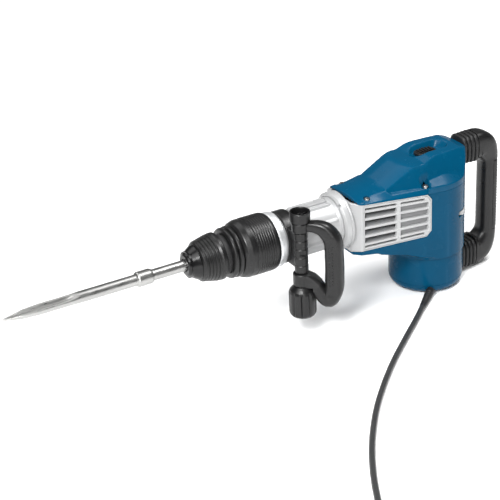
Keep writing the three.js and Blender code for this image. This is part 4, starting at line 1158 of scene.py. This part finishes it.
def rear_grip():
    """The soft pad on the grip, its face pressed into slanting ribs."""
    rows, cols = 150, 30
    points = []
    for i in range(rows + 1):
        z = 62.3 + 127.4 * i / rows
        end = min(1, (z - 62.3) / 4, (189.7 - z) / 4)
        for j in range(cols + 1):
            t = math.pi * (j / cols - 0.5)
            c, s = math.cos(t), math.sin(t)
            y = 16.9 * math.copysign(abs(s) ** (2 / 2.6), s)
            x = 127.3 + 14.3 * abs(c) ** (2 / 2.6)
            ribs = 0.5 + 0.5 * math.cos((z + y * 0.9) * 2 * math.pi / 5.2)
            lift = 0.55 * ribs ** 2 * min(1, abs(c) * 2) * min(1, max(0, (z - 70) / 6), max(0, (182 - z) / 6))
            inset = 2.4 * (1 - math.sqrt(max(0, 1 - (1 - end) ** 2)))
            points.append((max(127.3, x - 0.7 + lift - inset), y * (1 - inset / 40), z))
    n = cols + 1
    faces = [[i * n + j, i * n + j + 1, (i + 1) * n + j + 1, (i + 1) * n + j]
             for i in range(rows) for j in range(cols)]
    faces.append([i * n for i in range(rows + 1)] + [i * n + cols for i in range(rows, -1, -1)])
    faces += [[j for j in range(n)], [rows * n + j for j in range(n)]]
    piece("rear_grip_pad", mesh_of(points, faces), RUBBER, "rear_handle", ("rear_grip",), sharp=50)


def bellows(name, z, start, folds=4):
    """A folded rubber sleeve from the casing to the handle arm."""
    end = 92.9
    pitch = (end - start) / folds
    line = []
    for i in range(folds):
        x = start + i * pitch
        line += [(x, 0.30), (x + pitch * 0.12, 0.9), (x + pitch * 0.32, 1.0), (x + pitch * 0.55, 1.0),
                 (x + pitch * 0.75, 0.9), (x + pitch * 0.9, 0.30)]
    line.append((end, 0.3))
    centres, sections = [], []
    for x, f in line:
        grow = -3.4 + 3.6 * f
        t = (x - start) / (end - start)
        centres.append((x, 0, z))
        half_y, half_z = 20.2 + 1.0 * t + grow, 23.8 + 1.2 * t + grow
        sections.append(oval(half_y, half_z, 3.6, 72))
    outer = sweep(centres, sections, (0, 1, 0))
    inner = sweep([(start + 1.5, 0, z), (end + 3, 0, z)], [oval(14.4, 15, 3, 48)] * 2, (0, 1, 0))
    me = shape(outer, ("-", inner))
    obj = piece(f"{name}_folds", me, RUBBER, None, (name,), sharp=60)
    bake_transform(obj)
    return obj


# --- controls


def slide_switch():
    base = prism(rounded(-21, -11, 17, 11, 10.8, 10), 229.3, 234)
    crown = []
    for k, x in enumerate((-14.5, -9, -3.5, 2, 7.5)):
        crown.append(("+", prism(rounded(x, -8.6 + abs(k - 2) * 0.8, x + 2.6, 8.6 - abs(k - 2) * 0.8, 1.2),
                                 233, 236.9)))
    piece("slide_switch_button", shape(base, *crown), BLACK, "slide_switch", ("slide_switch",),
          0.6, 35)


def speed_dial():
    def notched(z, r, t):
        return r - (0.9 if 130.6 < z < 136.4 and math.cos(20 * t) < -0.3 else 0) if r > 11 else r
    wheel = lathe([(130, 0), (130, 11.4), (130.8, 12), (133.5, 12), (136.2, 12), (137, 11.4), (137, 0)], "Z",
                  (34, -43.5), 160, 0, 3, notched)
    me = shape(wheel, ("-", rod(2.5, 120, 140, 34, -43.5, 24)))
    piece("speed_dial_wheel", me, GRILLE, "speed_dial",
          ("speed_dial",), sharp=30)


def inner_parts():
    """The mechanism inside keeps its CAD shape, with rounded edges and its own metal."""
    looks = (
        (CAST, "bearing_plate"), (CIRCUIT, "electronics_module"), (BLACK, "cooling_fan"),
        (COPPER, "armature_core commutator"), (BRASS, "brush_holder_left brush_holder_right"),
        (DARK_STEEL, "connecting_rod crank_gear stator handle_bolt"),
        (STEEL, "cylinder_liner beat_piece ram piston wrist_pin crank_bearing armature_shaft upper_bearing "
                "lower_bearing handle_guide_upper handle_guide_lower handle_spring_upper "
                "handle_spring_lower"),
    )
    for mat, name in [(mat, name) for mat, group in looks for name in group.split()]:
        obj = NODES[name]
        obj.data.materials.clear()
        obj.data.materials.append(mat)
        weld = obj.modifiers.new("weld", "WELD")
        weld.merge_threshold = 0.00001
        edge_round(obj, 0.25, 40, 2)


cover_screws()
neck()
neck_collar()
front_shroud()
silver_ring()
tool_holder()
locking_sleeve()
chisel()
clamp_band()
bolt_cap()
side_loop()
clamp_knob()
rear_handle()
rear_grip()
bellows("bellows_upper", ARM_UP_Z, 62.5)
bellows("bellows_lower", ARM_LOW_Z, 63.0)
slide_switch()
speed_dial()
inner_parts()
piece("cover_seal", gasket(), DARK, "housing", ())


# --- light, floor and view


def lamp(name, place, target, size, power, size_y=None):
    data = bpy.data.lights.new(name, "AREA")
    data.energy = power
    data.size = size
    if size_y:
        data.shape = "RECTANGLE"
        data.size_y = size_y
    obj = bpy.data.objects.new(name, data)
    obj.location = place
    obj.rotation_mode = "QUATERNION"
    obj.rotation_quaternion = (Vector(target) - Vector(place)).to_track_quat("-Z", "Y")
    bpy.context.scene.collection.objects.link(obj)


def studio():
    world = bpy.data.worlds.new("studio")
    world.use_nodes = True
    sky = world.node_tree.nodes["Background"]
    sky.inputs[0].default_value = (1, 1, 1, 1)
    sky.inputs[1].default_value = 0.16
    bpy.context.scene.world = world
    middle = (-0.30, 0, 0.15)
    lamp("key", (-1.3, -1.0, 1.5), middle, 0.5, 42)
    lamp("strip", (-0.95, -1.55, 0.65), middle, 0.16, 8, 1.1)
    lamp("over", (0.45, -0.16, 1.5), middle, 0.45, 14)
    for name, way, power in (("sun_left", (-0.75, -0.35, 1), 1.5), ("sun_right", (0.5, -0.1, 1.2), 0.6),
                             ("sun_back", (-0.2, 0.7, 1.1), 0.9)):
        data = bpy.data.lights.new(name, "SUN")
        data.energy = power
        data.angle = math.radians(40)
        obj = bpy.data.objects.new(name, data)
        obj.rotation_mode = "QUATERNION"
        obj.rotation_quaternion = (-Vector(way)).to_track_quat("-Z", "Y")
        bpy.context.scene.collection.objects.link(obj)
    size = 40
    floor = mesh_of([(-size, -size, 0), (size, -size, 0), (size, size, 0), (-size, size, 0)], [[0, 1, 2, 3]])
    paper = material("paper", (0.93, 0.93, 0.93), 0.9, tint=0.004, tint_scale=2, grain=0.02, grain_scale=300,
                     specular=0.1)
    floor.materials.append(paper)
    ground = bpy.data.objects.new("floor", floor)
    bpy.context.scene.collection.objects.link(ground)
    view = bpy.context.scene.view_settings
    view.view_transform = "Standard"
    view.look = "None"


studio()
